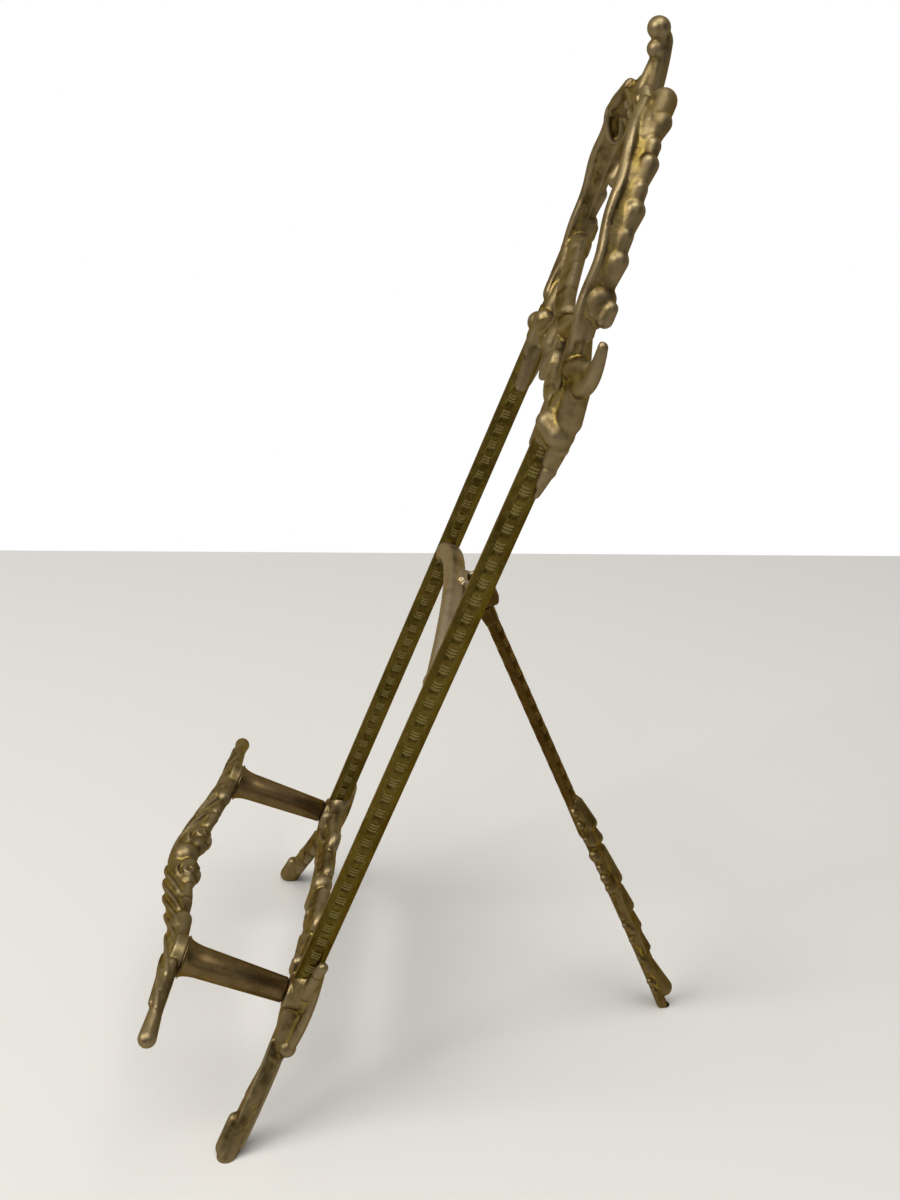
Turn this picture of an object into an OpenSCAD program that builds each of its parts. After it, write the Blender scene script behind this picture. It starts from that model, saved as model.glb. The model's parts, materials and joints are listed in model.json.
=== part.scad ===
// Folding brass book stand: a leaning frame of two engraved rods with a scroll crest,
// a scroll rail on two posts to carry the book, and a leaf-footed leg hinged behind.
// Frame points are written as [x, height along the leaning frame, distance in front of it].

/* [Frame] */
// Lean of the frame back from upright, degrees
lean = 22; // [16:0.5:28]
// Distance between the two rod axes
rod_spacing = 88; // [76:1:104]
// Rod size across its flats
rod_size = 6.1; // [5.4:0.1:7]
// Rod length, ends included
rod_length = 181; // [165:1:200]
// Height of the post axis along the frame
corner_height = 43.4; // [38:0.2:50]
// Gap all round where a rod, tenon or spigot sits in its socket
seat_gap = 0.1; // [0.05:0.05:0.2]

/* [Crest] */
// Height of the finial tip over the rod ends
crest_rise = 80; // [70:1:92]
// How far the finial tip curls forward
crest_curl = 8.4; // [4:0.2:11]
// Half depth of the crest scrolls
crest_half_depth = 2.4; // [2:0.1:3]
// Number of leaf lobes along each outer edge of the crest
crest_lobes = 7; // [5:1:9]

/* [Crossbar and hinge] */
// Height of the crossbar's middle along the frame
crossbar_height = 157.5; // [140:0.5:170]
// Rise of the crossbar's arch from its ends to its middle
crossbar_rise = 9; // [6:0.5:14]
// Crossbar size across its flats
crossbar_size = 5.6; // [5:0.1:6.2]
// Distance of the hinge pin behind the frame's middle plane
pivot_back = 6; // [5.8:0.1:7]
// Height of the hinge pin over the crossbar's middle line
pivot_over = 1.8; // [1:0.1:2.2]
// Hinge pin diameter
pin_d = 2.4; // [2:0.1:2.8]
// Radial running clearance of the leg on its pin
pin_clearance = 0.05; // [0.02:0.01:0.08]
// Radius of the two hinge ears
ear_r = 3.3; // [3:0.1:3.6]
// Thickness of each hinge ear
ear_t = 2; // [1.6:0.1:2.6]
// Thickness of the leg's head between the ears
head_t = 4; // [3:0.2:5]
// Side gap between the leg's head and each ear
ear_gap = 0.15; // [0.1:0.05:0.3]

/* [Rear leg] */
// Distance from the frame's foot line back to the leg tip
leg_reach = 124; // [112:1:136]
// Length of the leaf foot
leaf_length = 81; // [72:1:88]
// Width of the leg's shank
shank_w = 5.6; // [4.8:0.1:6.4]
// Thickness of the leg's shank
shank_t = 3.6; // [3.2:0.1:4.2]
// Half width of the leaf foot
leaf_half_width = 4.6; // [4:0.1:5.6]

/* [Book rail] */
// Distance of the rail's back in front of the frame's middle plane
rail_gap = 33.5; // [28:0.5:42]
// Length of the rail from tip to tip
rail_length = 150; // [136:1:166]
// How far the rail's middle bows forward
rail_bow = 5.6; // [2:0.2:7]
// Half height of the rail at its middle
rail_half_height = 4.5; // [4:0.1:5.4]
// Half depth of the rail at its middle
rail_half_depth = 4.2; // [3.4:0.1:4.8]

/* [Posts and screws] */
// Post diameter at the frame
post_d = 7.2; // [6.4:0.1:8]
// Post diameter before its flare
post_front_d = 8.8; // [8:0.1:9.6]
// Diameter of the flare at the rail
flare_d = 12; // [10.5:0.1:13]
// Diameter of the spigot that enters the rail
spigot_d = 4; // [3:0.1:4.6]
// Diameter of the post screws
screw_d = 3; // [2.5:0.1:3.4]

/* [Feet] */
// How far each foot splays out from its rod
foot_splay = 20; // [14:0.5:26]
// How far each foot tip curls forward
foot_forward = 2.8; // [1:0.2:5]
// Half width of a foot
foot_half_width = 3.4; // [2.8:0.1:4]
// Half depth of a foot
foot_half_depth = 2.5; // [2.2:0.1:3]
// Height of the apron's middle along the frame
apron_height = 45; // [40:0.5:50]

/* [Hidden] */
dark_brass = "#5d4c2a";
rubbed_brass = "#77663c";
turned_brass = "#6a5430";

round_steps = 48;
socket_steps = 24;
arm_steps = 12;
bead_steps = 6;
lobe_steps = 6;
scroll_sides = 6;
scroll_round = 0.14;
least_share = 0.15;
floor_size = 600;

rod_x = rod_spacing / 2;
rod_foot = corner_height + 3.8;
rod_top = rod_foot + rod_length;
socket_size = rod_size + 2 * seat_gap;
corner_front = 4;
corner_back = -3;
corner_r = 4.8;
apron_end = rod_x - 5.5;

pivot_height = crossbar_height + pivot_over;
pivot_y = pivot_height * sin(lean) + pivot_back * cos(lean);
pivot_z = pivot_height * cos(lean) - pivot_back * sin(lean);
leg_angle = atan((leg_reach - pivot_y) / pivot_z);
leg_length = norm([leg_reach - pivot_y, pivot_z]);
leg_swing = lean + leg_angle;

head_front = 2.9;
head_back = 4.4;
head_shoulder = 6.6;
heel_rise = 2.1;
heel_gap = 0.05;
pin_seat_gap = 0.02;
shank_end = leg_length - leaf_length;
neck_flare = 0.4;
neck_band = 1.4;
neck_length = 5.5;
tenon_length = 10;
leaf_lap = 3;
leaf_overrun = 4;
leaf_margin = 1.2;
ferrule_wall = 1.6;
tenon_w = shank_w - 1.8;
tenon_t = shank_t - 1.2;

rail_lip = 2.9;
rail_drop = 6;
rail_middle = rail_gap + rail_lip;
rail_low = apron_height - rail_drop;

// The castings' lobes and rims are drawn for these sizes and grow with them
crest_unit = (crest_rise / 80 + rod_spacing / 88) / 2;
foot_unit = (corner_height / 43.4 + foot_splay / 20) / 2;
apron_unit = (apron_height / 45 + rod_spacing / 88) / 2;
rail_unit = (rail_half_height / 4.5 + rail_length / 150) / 2;
leaf_unit = leaf_length / 81;

pendant_height = rail_low - 4 * rail_unit;
pendant_front = rail_middle + rail_bow + 0.8 * rail_unit;
pendant_r = 2.6 * rail_unit;
leaf_tip_overhang = 3.02;
front_y = pendant_height * sin(lean) - pendant_front * cos(lean) - pendant_r;
origin_shift = -(leg_reach + leaf_tip_overhang + front_y) / 2;

// Points and shapes shared by the castings

function unit(v) = v / norm(v);
function lerp(a, b, t) = a + (b - a) * t;
function bezier(a, b, c, d, steps) =
    [for (i = [0:steps]) let (t = i / steps, s = 1 - t)
        s * s * s * a + 3 * s * s * t * b + 3 * s * t * t * c + t * t * t * d];
function volute(centre, r0, r1, a0, a1, steps) =
    [for (i = [0:steps]) let (t = i / steps, r = lerp(r0, r1, t), a = lerp(a0, a1, t))
        centre + [r * cos(a), r * sin(a), 0]];
function shifted(path, by) = [for (p = path) p + by];
function along_at(path, i) = unit(path[min(i + 1, len(path) - 1)] - path[max(i - 1, 0)]);
function out_at(path, i) = let (along = along_at(path, i)) unit([along[1], -along[0], 0]);
function end_round(t) =
    let (e = scroll_round, near = min(t, 1 - t))
    near < e ? max(least_share, sqrt(1 - pow(1 - near / e, 2))) : 1;

// Oval bar carried along a path, tapering from its first to its last half width and half depth
module scroll(path, w0, w1, d0, d1, bulge = 0) {
    last = len(path) - 1;
    points = [for (i = [0:last])
        let (t = i / last,
             across = out_at(path, i),
             w = (lerp(w0, w1, t) + bulge * sin(180 * t)) * end_round(t),
             d = lerp(d0, d1, t) * end_round(t))
        for (k = [0:scroll_sides - 1]) let (a = 360 * k / scroll_sides)
            path[i] + w * cos(a) * across + [0, 0, d * sin(a)]];
    walls = [for (i = [0:last - 1]) for (k = [0:scroll_sides - 1])
        let (next = (k + 1) % scroll_sides, low = i * scroll_sides, high = low + scroll_sides)
        each [[low + k, low + next, high + next], [low + k, high + next, high + k]]];
    first_cap = [for (k = [scroll_sides - 1:-1:0]) k];
    last_cap = [for (k = [0:scroll_sides - 1]) last * scroll_sides + k];
    polyhedron(points, concat(walls, [first_cap, last_cap]), convexity = 8);
}

// Leaf lobe: a rounded drop between two points
module lobe(a, b, ra, rb) {
    hull() {
        translate(a) sphere(ra, $fn = lobe_steps);
        translate(b) sphere(rb, $fn = lobe_steps);
    }
}

module bead(p, r) {
    translate(p) sphere(r, $fn = bead_steps);
}

// Regular octagonal bar that stands along +Y with its flats facing the axes
module octagon_bar(size, from, to) {
    translate([0, to, 0]) rotate([90, 22.5, 0])
        cylinder(d = size / cos(22.5), h = to - from, $fn = 8);
}

module both_sides() {
    children();
    mirror([1, 0, 0]) children();
}

// Places children drawn as [x, height along the frame, distance in front]
module on_frame() {
    translate([0, origin_shift, 0]) rotate([90 - lean, 0, 0]) children();
}

// Places children drawn as [x, height over the hinge pin along the leg, distance in front of the leg]
module on_leg() {
    translate([0, origin_shift + pivot_y, pivot_z]) rotate([90 + leg_angle, 0, 0]) children();
}

module floor_cut() {
    translate([-floor_size / 2, -floor_size / 2, -floor_size]) cube(floor_size);
}

// Crest

function curl(height) =
    let (bent = max(0, height - rod_top - 0.275 * crest_rise))
    crest_curl * pow(bent / (0.725 * crest_rise), 2);
function crest_point(out, up, front = 0) =
    let (height = rod_top + up * crest_rise) [out * rod_x, height, front + curl(height)];
function crest_curve(a, b, c, d, steps) =
    [for (p = bezier(a, b, c, d, steps)) [p[0], p[1], p[2] + curl(p[1])]];
function crest_flat(out, up, front = 0) = [out * rod_x, rod_top + up * crest_rise, front];
arm_path = crest_curve(crest_flat(1, 0.02, 0.4), crest_flat(1.2, 0.3, 2.4),
                       crest_flat(1.12, 0.66, 4.4), crest_flat(0.55, 0.785, -0.2), arm_steps);

module crest_scroll(path, w0, w1, d0, d1, bulge = 0) {
    k = crest_unit;
    scroll(path, w0 * k, w1 * k, d0, d1, bulge * k);
}

module crest_lobe(a, b, ra, rb) {
    lobe(a, b, ra * crest_unit, rb * crest_unit);
}

// Outer scroll of one side: a front rim, a channel, and leaf lobes that open upwards along the rear edge
module crest_arm() {
    d = crest_half_depth;
    k = crest_unit;
    crest_scroll(arm_path, 2.8, 2.2, d + 0.5, d);
    rim = [for (i = [0:2:arm_steps]) arm_path[i] + [0, 0, d - 0.1]];
    crest_scroll(rim, 3.2, 2.4, 1.2, 1.1);
    for (i = [0:crest_lobes - 1]) {
        at = 5 + round(i * (arm_steps - 5) / (crest_lobes - 1));
        along = along_at(arm_path, at);
        out = out_at(arm_path, at);
        root = arm_path[at] + k * (0.3 * out - 2.8 * along - [0, 0, 1]);
        tip = arm_path[at] + k * (1.3 * out + 0.6 * along - [0, 0, 1.3]);
        crest_lobe(root, tip, 1.6, 2.3 + 0.3 * (i % 2));
    }
    knuckle = arm_path[4] + 0.8 * k * out_at(arm_path, 4);
    crest_lobe(knuckle - [0, 0, 1.8], knuckle + [0, 0, 1.6], 3.3, 3.5);
}

// Leaf sleeve over a rod's top, with its tail behind and its roll in front
module crest_sleeve() {
    d = crest_half_depth;
    scroll(bezier(crest_flat(1, -0.2), crest_flat(1, -0.1), crest_flat(1, 0), crest_flat(1.02, 0.12), 5),
           4.8, 4.3, 4.6, d + 0.8);
    tail = bezier(crest_flat(1.03, -0.29, -2.8), crest_flat(1.07, -0.2, -3.4),
                  crest_flat(1.1, -0.1, -3.2), crest_flat(1.12, 0.02, -1.4), 5);
    crest_scroll(tail, 1.5, 3.2, 1.5, 2.4);
    crest_lobe(crest_flat(1.02, -0.1, 3.2), crest_flat(1.05, -0.04, 2.8), 3.1, 2.6);
}

// Leaf hook beside the sleeve, under the grooved knuckle
module crest_hook() {
    d = crest_half_depth;
    k = crest_unit;
    hook = bezier(crest_flat(1, 0.06, 0.6), crest_flat(1.16, 0.03, 0.2),
                  crest_flat(1.33, 0.1, -0.6), crest_flat(1.36, 0.235, -0.8), 7);
    crest_scroll(hook, 5.2, 1.2, d + 0.8, 1.3, 1.2);
    crest_lobe(crest_flat(1.03, 0.1, 1.2), crest_flat(1.08, 0.2, 1.4), 4.4, 3.8);
    centre = crest_flat(1.12, 0.275, 1.4);
    bead(centre, 3.4 * k);
    crest_scroll(volute(centre - [0, 0, 0.4], 4 * k, 3.3 * k, -160, 60, 6), 1.1, 0.9, d + 0.3, 2);
}

module crest_top_scroll() {
    d = crest_half_depth;
    k = crest_unit;
    path = crest_curve(crest_flat(0.84, 0.68, 1.6), crest_flat(0.6, 0.86, 1.2),
                       crest_flat(0.3, 0.68, 0.8), crest_flat(-0.1, 0.78, 0.6), 7);
    crest_scroll(path, 2.4, 2.2, d + 0.1, d - 0.1);
    eye = volute(crest_point(0.78, 0.62, 1.6), 5.2 * k, 3.4 * k, 60, -250, 7);
    crest_scroll(eye, 1.7, 1.4, d, d - 0.4);
}

module crest_cross_scrolls() {
    d = crest_half_depth;
    k = crest_unit;
    upper = bezier(crest_flat(1.08, 0.24, 0.8), crest_flat(0.7, 0.24, 1),
                   crest_flat(0.36, 0.02, 0.8), crest_flat(-0.1, 0.12, 0.6), 7);
    crest_scroll(upper, 2.6, 2.3, d + 0.4, d + 0.4);
    lower = bezier(crest_flat(0.93, -0.02, 0), crest_flat(0.74, -0.09, 0.4),
                   crest_flat(0.4, -0.07, 0.4), crest_flat(0.12, 0.1, 0.4), 6);
    crest_scroll(lower, 2.3, 1.8, d, d - 0.2);
    crest_scroll(volute(crest_flat(0.3, 0.005, 0.6), 4.4 * k, 1.2 * k, 150, 470, 7), 1.5, 1.3, d - 0.4, d);
    for (i = [2, 4]) crest_lobe(upper[i] + [0, k, 0], upper[i] + k * [1.2, 3.2, 0.4], 1.8, 1.4);
}

// Leaf pendants and the forward-rolled finial on the middle line
module crest_middle() {
    d = crest_half_depth;
    crest_lobe(crest_flat(0, 0.11, 0.6), crest_flat(0, 0.01, 1), 3, 3.2);
    crest_lobe(crest_flat(0, 0.01, 1), crest_flat(0, -0.1, 0.6), 3, 1.2);
    stem = crest_curve(crest_flat(0, 0.62, 0.4), crest_flat(0, 0.72, 0.2),
                       crest_flat(0, 0.86, -1.4), crest_flat(0, 0.975, -0.8), 6);
    crest_scroll(stem, 2.5, 2.3, d - 0.4, d - 0.9, 0.4);
    crest_lobe(crest_point(0, 0.64, 0.9), crest_point(0, 0.54, 2), 1.6, 2.3);
    for (roll = [[0.965, 0.9, 2.7], [0.912, 0.9, 2.2], [0.85, -0.4, 2.4]]) {
        up = roll[0];
        front = roll[1];
        crest_lobe(crest_point(-0.02, up, front), crest_point(0.02, up, front), roll[2], roll[2]);
    }
}

module rod_sockets(from, to) {
    both_sides() translate([rod_x, 0, 0]) octagon_bar(socket_size, from, to);
}

module crest() {
    color(rubbed_brass) on_frame() difference() {
        union() {
            both_sides() {
                crest_arm();
                crest_sleeve();
                crest_hook();
                crest_top_scroll();
                crest_cross_scrolls();
            }
            crest_middle();
        }
        rod_sockets(rod_foot, rod_top + seat_gap);
    }
}

// Rods

module rod(side) {
    color(dark_brass) on_frame() translate([side * rod_x, 0, 0]) octagon_bar(rod_size, rod_foot, rod_top);
}

module left_rod() { rod(-1); }

module right_rod() { rod(1); }

// Crossbar with its two hinge ears

crossbar_end = rod_x - rod_size / 2;
crossbar_r = (pow(crossbar_end, 2) + pow(crossbar_rise, 2)) / (2 * crossbar_rise);
crossbar_arc = asin(crossbar_end / crossbar_r) + 4;
crossbar_foot = crossbar_height - crossbar_rise;
crossbar_flare = 4.5;

module crossbar_arch() {
    translate([0, crossbar_height - crossbar_r, 0]) rotate([0, 0, 90 - crossbar_arc])
        rotate_extrude(angle = 2 * crossbar_arc, $fn = 180)
            translate([crossbar_r, 0]) rotate(22.5) circle(d = crossbar_size / cos(22.5), $fn = 8);
}

// Concave bracket in the corner between the arch and a rod
module crossbar_bracket(up) {
    depth = crossbar_size * 0.6;
    corner = crossbar_foot + up * crossbar_size * 0.35;
    translate([crossbar_end, corner, -depth / 2]) linear_extrude(depth) difference() {
        translate([-crossbar_flare, min(0, up * crossbar_flare)]) square(crossbar_flare);
        translate([-crossbar_flare, up * crossbar_flare]) circle(crossbar_flare * 0.96, $fn = round_steps);
    }
}

module hinge_ear() {
    translate([head_t / 2 + ear_gap, pivot_height, -pivot_back])
        rotate([0, 90, 0]) linear_extrude(ear_t) union() {
            circle(ear_r, $fn = round_steps);
            translate([-pivot_back, -ear_r]) square([pivot_back, ear_r * 1.6]);
        }
}

// Flat pad between the ears that the leg's heel rests against when the leg is open
module heel_stop() {
    half_width = head_t / 2 + ear_gap + ear_t / 2;
    translate([-half_width, crossbar_height, -crossbar_size / 2])
        cube([2 * half_width, pivot_over + heel_rise, crossbar_size / 2]);
}

module crossbar() {
    color(rubbed_brass) on_frame() difference() {
        union() {
            intersection() {
                crossbar_arch();
                translate([-crossbar_end, 0, -crossbar_size])
                    cube([2 * crossbar_end, 2 * crossbar_height, 2 * crossbar_size]);
            }
            heel_stop();
            both_sides() {
                crossbar_bracket(1);
                crossbar_bracket(-1);
                hinge_ear();
            }
        }
        pin_hole(pin_d / 2 + pin_seat_gap);
    }
}

module pin_hole(r) {
    translate([-floor_size / 2, pivot_height, -pivot_back]) rotate([0, 90, 0])
        cylinder(r = r, h = floor_size, $fn = round_steps);
}

// Corner castings with their scroll feet

foot_path = bezier([rod_x, corner_height - 2, 0], [rod_x + 0.15 * foot_splay, 0.62 * corner_height, 0],
                   [rod_x + 0.7 * foot_splay, 0.4 * corner_height, 0.2 * foot_forward],
                   [rod_x + foot_splay, -0.08 * corner_height, foot_forward], 12);

// Splayed foot: overlapping leaves down a strap that ends in a broad toe
module foot_scroll() {
    w = foot_half_width;
    d = foot_half_depth;
    k = foot_unit;
    scroll(foot_path, w, w - 1.2, d, d + 0.2);
    lobe(foot_path[2] - [0, 0, 0.6 * k], foot_path[4], 3 * k, 2.5 * k);
    lobe(foot_path[5], foot_path[7] + [0, 0, 0.6 * k], 2.2 * k, 2.7 * k);
    lobe(foot_path[8] + [0, 0, 0.8 * k], foot_path[12] + [0, 2.2 * k, 0.2 * k], 2.7 * k, 3.2 * k);
    for (i = [4, 7]) {
        out = out_at(foot_path, i);
        curl = 2.6 * out + 2.4 * along_at(foot_path, i);
        lobe(foot_path[i] + k * out, foot_path[i] + k * curl, 2 * k, 1.5 * k);
    }
}

// Leaf round the rod's end, with the strap behind it and the stub towards the apron
module corner_leaf() {
    k = foot_unit;
    at = [rod_x, corner_height, 0];
    collar = bezier(at - [0, 4, 0], at + [0, 2, 0], at + [0, 5, -0.4], at + [0, 10, -0.8], 5);
    scroll(collar, 4.8, 4.3, 4, 3.5);
    strap = bezier(at + k * [1.2, 14, -2.6], at + k * [2.6, 2, -4.2], at + k * [5, -5, -4.2],
                   at + k * [6.4, -14.6, -2.4], 6);
    scroll(strap, 2.6 * k, 2.5 * k, 1.3 * k, 1.8 * k);
    bead(at + k * [6.4, -13.6, -2.2], 2.8 * k);
    lobe(at + k * [3, 4, -1.6], at + k * [4.6, 13.6, -2], 2.4 * k, 1.6 * k);
    lobe(at + k * [2, -5, 0], at + k * [5.2, -13, -0.4], 3.4 * k, 2.5 * k);
    lobe(at - [2, 2, 0], [apron_end - 3, corner_height + 1, 0], 3.5, 3.1);
}

module corner_casting() {
    difference() {
        union() {
            foot_scroll();
            corner_leaf();
            translate([rod_x, corner_height, corner_back])
                cylinder(r = corner_r, h = corner_front - corner_back, $fn = socket_steps);
        }
        rod_sockets(rod_foot - seat_gap, rod_top);
        translate([rod_x, corner_height, corner_front])
            cylinder(r = corner_r + 4, h = corner_r, $fn = socket_steps);
        translate([rod_x, corner_height, corner_back - corner_r]) {
            cylinder(d = screw_d + 2 * seat_gap, h = 4 * corner_r, $fn = socket_steps);
            cylinder(d = screw_head_d + 4 * seat_gap, h = corner_r + screw_head_t, $fn = socket_steps);
        }
        translate([apron_end - floor_size, 0, -floor_size / 2]) cube(floor_size);
    }
}

module foot(side) {
    color(dark_brass) difference() {
        on_frame() mirror([side < 0 ? 1 : 0, 0, 0]) corner_casting();
        floor_cut();
    }
}

module left_foot() { foot(-1); }

module right_foot() { foot(1); }

// Apron between the corners

module apron_half() {
    k = apron_unit;
    middle = [0, apron_height, 0];
    wave = bezier([apron_end + 3, apron_height - 0.6 * k, 0], [apron_end * 0.75, apron_height - 4 * k, 0],
                  [apron_end * 0.4, apron_height + 5 * k, -0.4 * k], [0, apron_height, -0.4 * k], 9);
    scroll(wave, 3.2 * k, 3.8 * k, 2.4 * k, 2.4 * k);
    eye = middle + [apron_end * 0.54, 4.4 * k, -0.6 * k];
    scroll(volute(eye, 4.2 * k, k, 250, -80, 8), 1.6 * k, 1.4 * k, 1.8 * k, 2 * k);
    bead(eye + [0, 0.4 * k, 0], 2.4 * k);
    lobe(middle + [apron_end * 0.94, 1.4 * k, -0.4 * k], middle + [apron_end * 0.68, 2.8 * k, -k],
         2.7 * k, 2 * k);
    lobe(middle + [apron_end * 0.36, 2.2 * k, -0.6 * k], middle + [apron_end * 0.14, 4.2 * k, -k],
         2.5 * k, 1.9 * k);
    lobe(middle + [apron_end * 0.92, -2.6 * k, 0.4 * k], middle + [apron_end * 0.5, -3.2 * k, 0.4 * k],
         2.8 * k, 2.4 * k);
    lobe(middle + [apron_end * 0.38, -1.6 * k, 0.4 * k], middle + [apron_end * 0.18, -4.4 * k, 0.5 * k],
         2.2 * k, 1.7 * k);
}

module apron() {
    color(dark_brass) on_frame() intersection() {
        union() {
            both_sides() apron_half();
            lobe([0, apron_height + 3 * apron_unit, 0], [0, apron_height - 6 * apron_unit, 0.4],
                 3.2 * apron_unit, 2.2 * apron_unit);
        }
        translate([-apron_end, 0, -floor_size / 2]) cube([2 * apron_end, floor_size, floor_size]);
    }
}

// Scroll rail that holds the book

rail_seat = corner_height + 0.4 * rail_unit;
rail_tip = rail_length / 2 - 1.1 * rail_unit;
rail_tip_drop = 4.4;
rail_path = concat(
    bezier([0, rail_low, rail_middle + rail_bow], [0.4 * rod_x, rail_low, rail_middle + rail_bow],
           [0.7 * rod_x, rail_seat, rail_middle], [rod_x, rail_seat, rail_middle], 8),
    [for (i = [1:4]) let (t = i / 4)
        [lerp(rod_x, rail_tip, t), rail_seat - rail_tip_drop * t * t, rail_middle - 0.6 * rail_unit * t]]);

// Long vein that flows along one half of the rail, above and in front of its middle line
module rail_vein(up, front) {
    last = len(rail_path) - 5;
    path = [for (i = [0:2:last])
        let (t = i / (last + 4), size = (1 - 0.5 * t) * rail_unit, wave = 0.3 * sin(745 * t + 20 * up))
        rail_path[i] + size * [0, up + wave, front]];
    scroll(path, 1.5 * rail_unit, 1.1 * rail_unit, 1.5 * rail_unit, 1.1 * rail_unit);
}

module rail_half() {
    k = rail_unit;
    tip = len(rail_path) - 1;
    lead = [for (x = [-10, -5]) [x * k, rail_low, rail_middle + rail_bow]];
    scroll(concat(lead, rail_path), rail_half_height, 1.8 * k, rail_half_depth, 1.6 * k);
    rail_vein(2, 2.6);
    lobe(rail_path[tip - 1], rail_path[tip] - [1.2 * k, 0, 0], 1.8 * k, 2.3 * k);
    eye = [8.5 * k, rail_low + 3.4 * k, rail_middle + 3 * k];
    translate(eye) rotate([-90, 0, 0])
        scroll(volute([0, 0, 0], 3.4 * k, 2.9 * k, -230, 130, 8), 1.3 * k, 1.2 * k, 1.7 * k, 1.5 * k);
    bead(eye, 2.8 * k);
    lobe([16.5 * k, rail_low + 4.3 * k, rail_middle + 0.8 * k],
         [15.3 * k, rail_low + 4.9 * k, rail_middle + 3.4 * k], 1.9 * k, 1.5 * k);
    lobe(rail_path[7] + k * [0, 1.2, -0.8], [26 * k, rail_low + 4.4 * k, rail_middle + 0.6 * k],
         2.4 * k, 3 * k);
    lobe(rail_path[6] + k * [0, 1.6, 0.4], rail_path[7] + k * [-2, 1.4, 0.4], 2.4 * k, 2.1 * k);
    lobe(rail_path[9] + k * [-3, 1.6, -0.2], rail_path[9] + k * [0, 1.4, -0.2], 1.7 * k, 1.5 * k);
}

module front_rail() {
    color(rubbed_brass) on_frame() difference() {
        union() {
            both_sides() {
                rail_half();
                translate([rod_x, corner_height, rail_gap])
                    cylinder(d = flare_d - 1, h = rail_half_depth, $fn = socket_steps);
            }
            lobe([0, rail_low + 3 * rail_unit, rail_middle + rail_bow], [0, pendant_height, pendant_front],
                 4 * rail_unit, pendant_r);
        }
        both_sides() {
            translate([rod_x, corner_height, rail_gap - 1])
                cylinder(d = spigot_d + 2 * seat_gap, h = spigot_length + seat_gap + 1, $fn = socket_steps);
            translate([rod_x, corner_height, 0]) cylinder(r = flare_d, h = rail_gap, $fn = socket_steps);
        }
    }
}

// Posts and the screws that hold them from behind

spigot_length = 3.4;
screw_head_d = 5.2;
screw_head_t = 1.8;
screw_reach = 10;
screw_slot = 0.8;
screw_length = corner_front - corner_back + screw_reach - 1;
flare_length = 6;
post_length = rail_gap - corner_front;

module post(side) {
    color(turned_brass) on_frame() translate([side * rod_x, corner_height, corner_front]) difference() {
        rotate_extrude($fn = round_steps) difference() {
            polygon([[0, 0], [post_d / 2, 0], [post_front_d / 2, post_length - flare_length],
                     [flare_d / 2, post_length - flare_length], [flare_d / 2, post_length],
                     [spigot_d / 2, post_length], [spigot_d / 2, post_length + spigot_length],
                     [0, post_length + spigot_length]]);
            translate([flare_d / 2, post_length - flare_length])
                scale([(flare_d - post_front_d) / 2, flare_length - 0.6]) circle(1, $fn = round_steps);
        }
        translate([0, 0, -1]) cylinder(d = screw_d, h = screw_reach + 1, $fn = round_steps);
    }
}

module left_post() { post(-1); }

module right_post() { post(1); }

module post_screw() {
    shank_gap = 0.05;
    difference() {
        union() {
            translate([0, 0, corner_back]) cylinder(d = screw_head_d, h = screw_head_t, $fn = round_steps);
            translate([0, 0, corner_back])
                cylinder(d = screw_d - 2 * shank_gap, h = screw_length, $fn = round_steps);
        }
        translate([-screw_head_d, -screw_slot / 2, corner_back - 1])
            cube([2 * screw_head_d, screw_slot, 1 + screw_slot]);
    }
}

module post_screws() {
    color(turned_brass) on_frame() both_sides() translate([rod_x, corner_height, 0]) post_screw();
}

// Rear leg: hinge head, engraved shank and leaf foot

heel_out = pivot_back - crossbar_size / 2 - heel_gap;
stop_way = [sin(leg_swing), cos(leg_swing)];
rise_way = [cos(leg_swing), -sin(leg_swing)];
heel_corner = heel_out * stop_way + heel_rise * rise_way;

// Side outline of the hinge head as [up, front]: its heel stops flat against the crossbar
module head_outline() {
    circle(head_front, $fn = round_steps);
    polygon([[0, 0], heel_out * stop_way, heel_corner, [heel_corner[0], -head_back],
             [-head_shoulder, -head_back], [-head_shoulder, head_front], [0, head_front]]);
}

module rear_leg() {
    color(dark_brass) on_leg() difference() {
        union() {
            translate([-head_t / 2, 0, 0]) rotate([90, 0, 90]) linear_extrude(head_t) head_outline();
            hull() {
                translate([-shank_w / 2 - neck_flare, -head_shoulder, -shank_t / 2 - neck_flare])
                    cube([shank_w + 2 * neck_flare, neck_band, shank_t / 2 + neck_flare + head_front]);
                translate([-shank_w / 2, -head_shoulder - neck_length, -shank_t / 2])
                    cube([shank_w, 0.1, shank_t]);
            }
            leg_bar(head_shoulder + neck_length - 1, shank_end, shank_w, shank_t);
            leg_bar(shank_end - 1, shank_end + tenon_length, tenon_w, tenon_t);
        }
        translate([-floor_size / 2, 0, 0]) rotate([0, 90, 0])
            cylinder(d = pin_d + 2 * pin_clearance, h = floor_size, $fn = round_steps);
    }
}

// Bevelled flat bar section
module shank_section(w, t) {
    bevel = t / 3;
    x = w / 2;
    y = t / 2;
    polygon([[x, y - bevel], [x - bevel, y], [bevel - x, y], [-x, y - bevel],
             [-x, bevel - y], [bevel - x, -y], [x - bevel, -y], [x, bevel - y]]);
}

// Bevelled bar between two distances down the leg from its pin
module leg_bar(from, to, w, t) {
    translate([0, -from, 0]) rotate([90, 0, 0]) linear_extrude(to - from) shank_section(w, t);
}

module leg_foot() {
    room = 2 * seat_gap;
    color(dark_brass) difference() {
        on_leg() difference() {
            leaf_blade();
            leg_bar(0, shank_end, shank_w + room, shank_t + room);
            leg_bar(shank_end - 1, shank_end + tenon_length + seat_gap, tenon_w + room, tenon_t + room);
        }
        floor_cut();
    }
}

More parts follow.
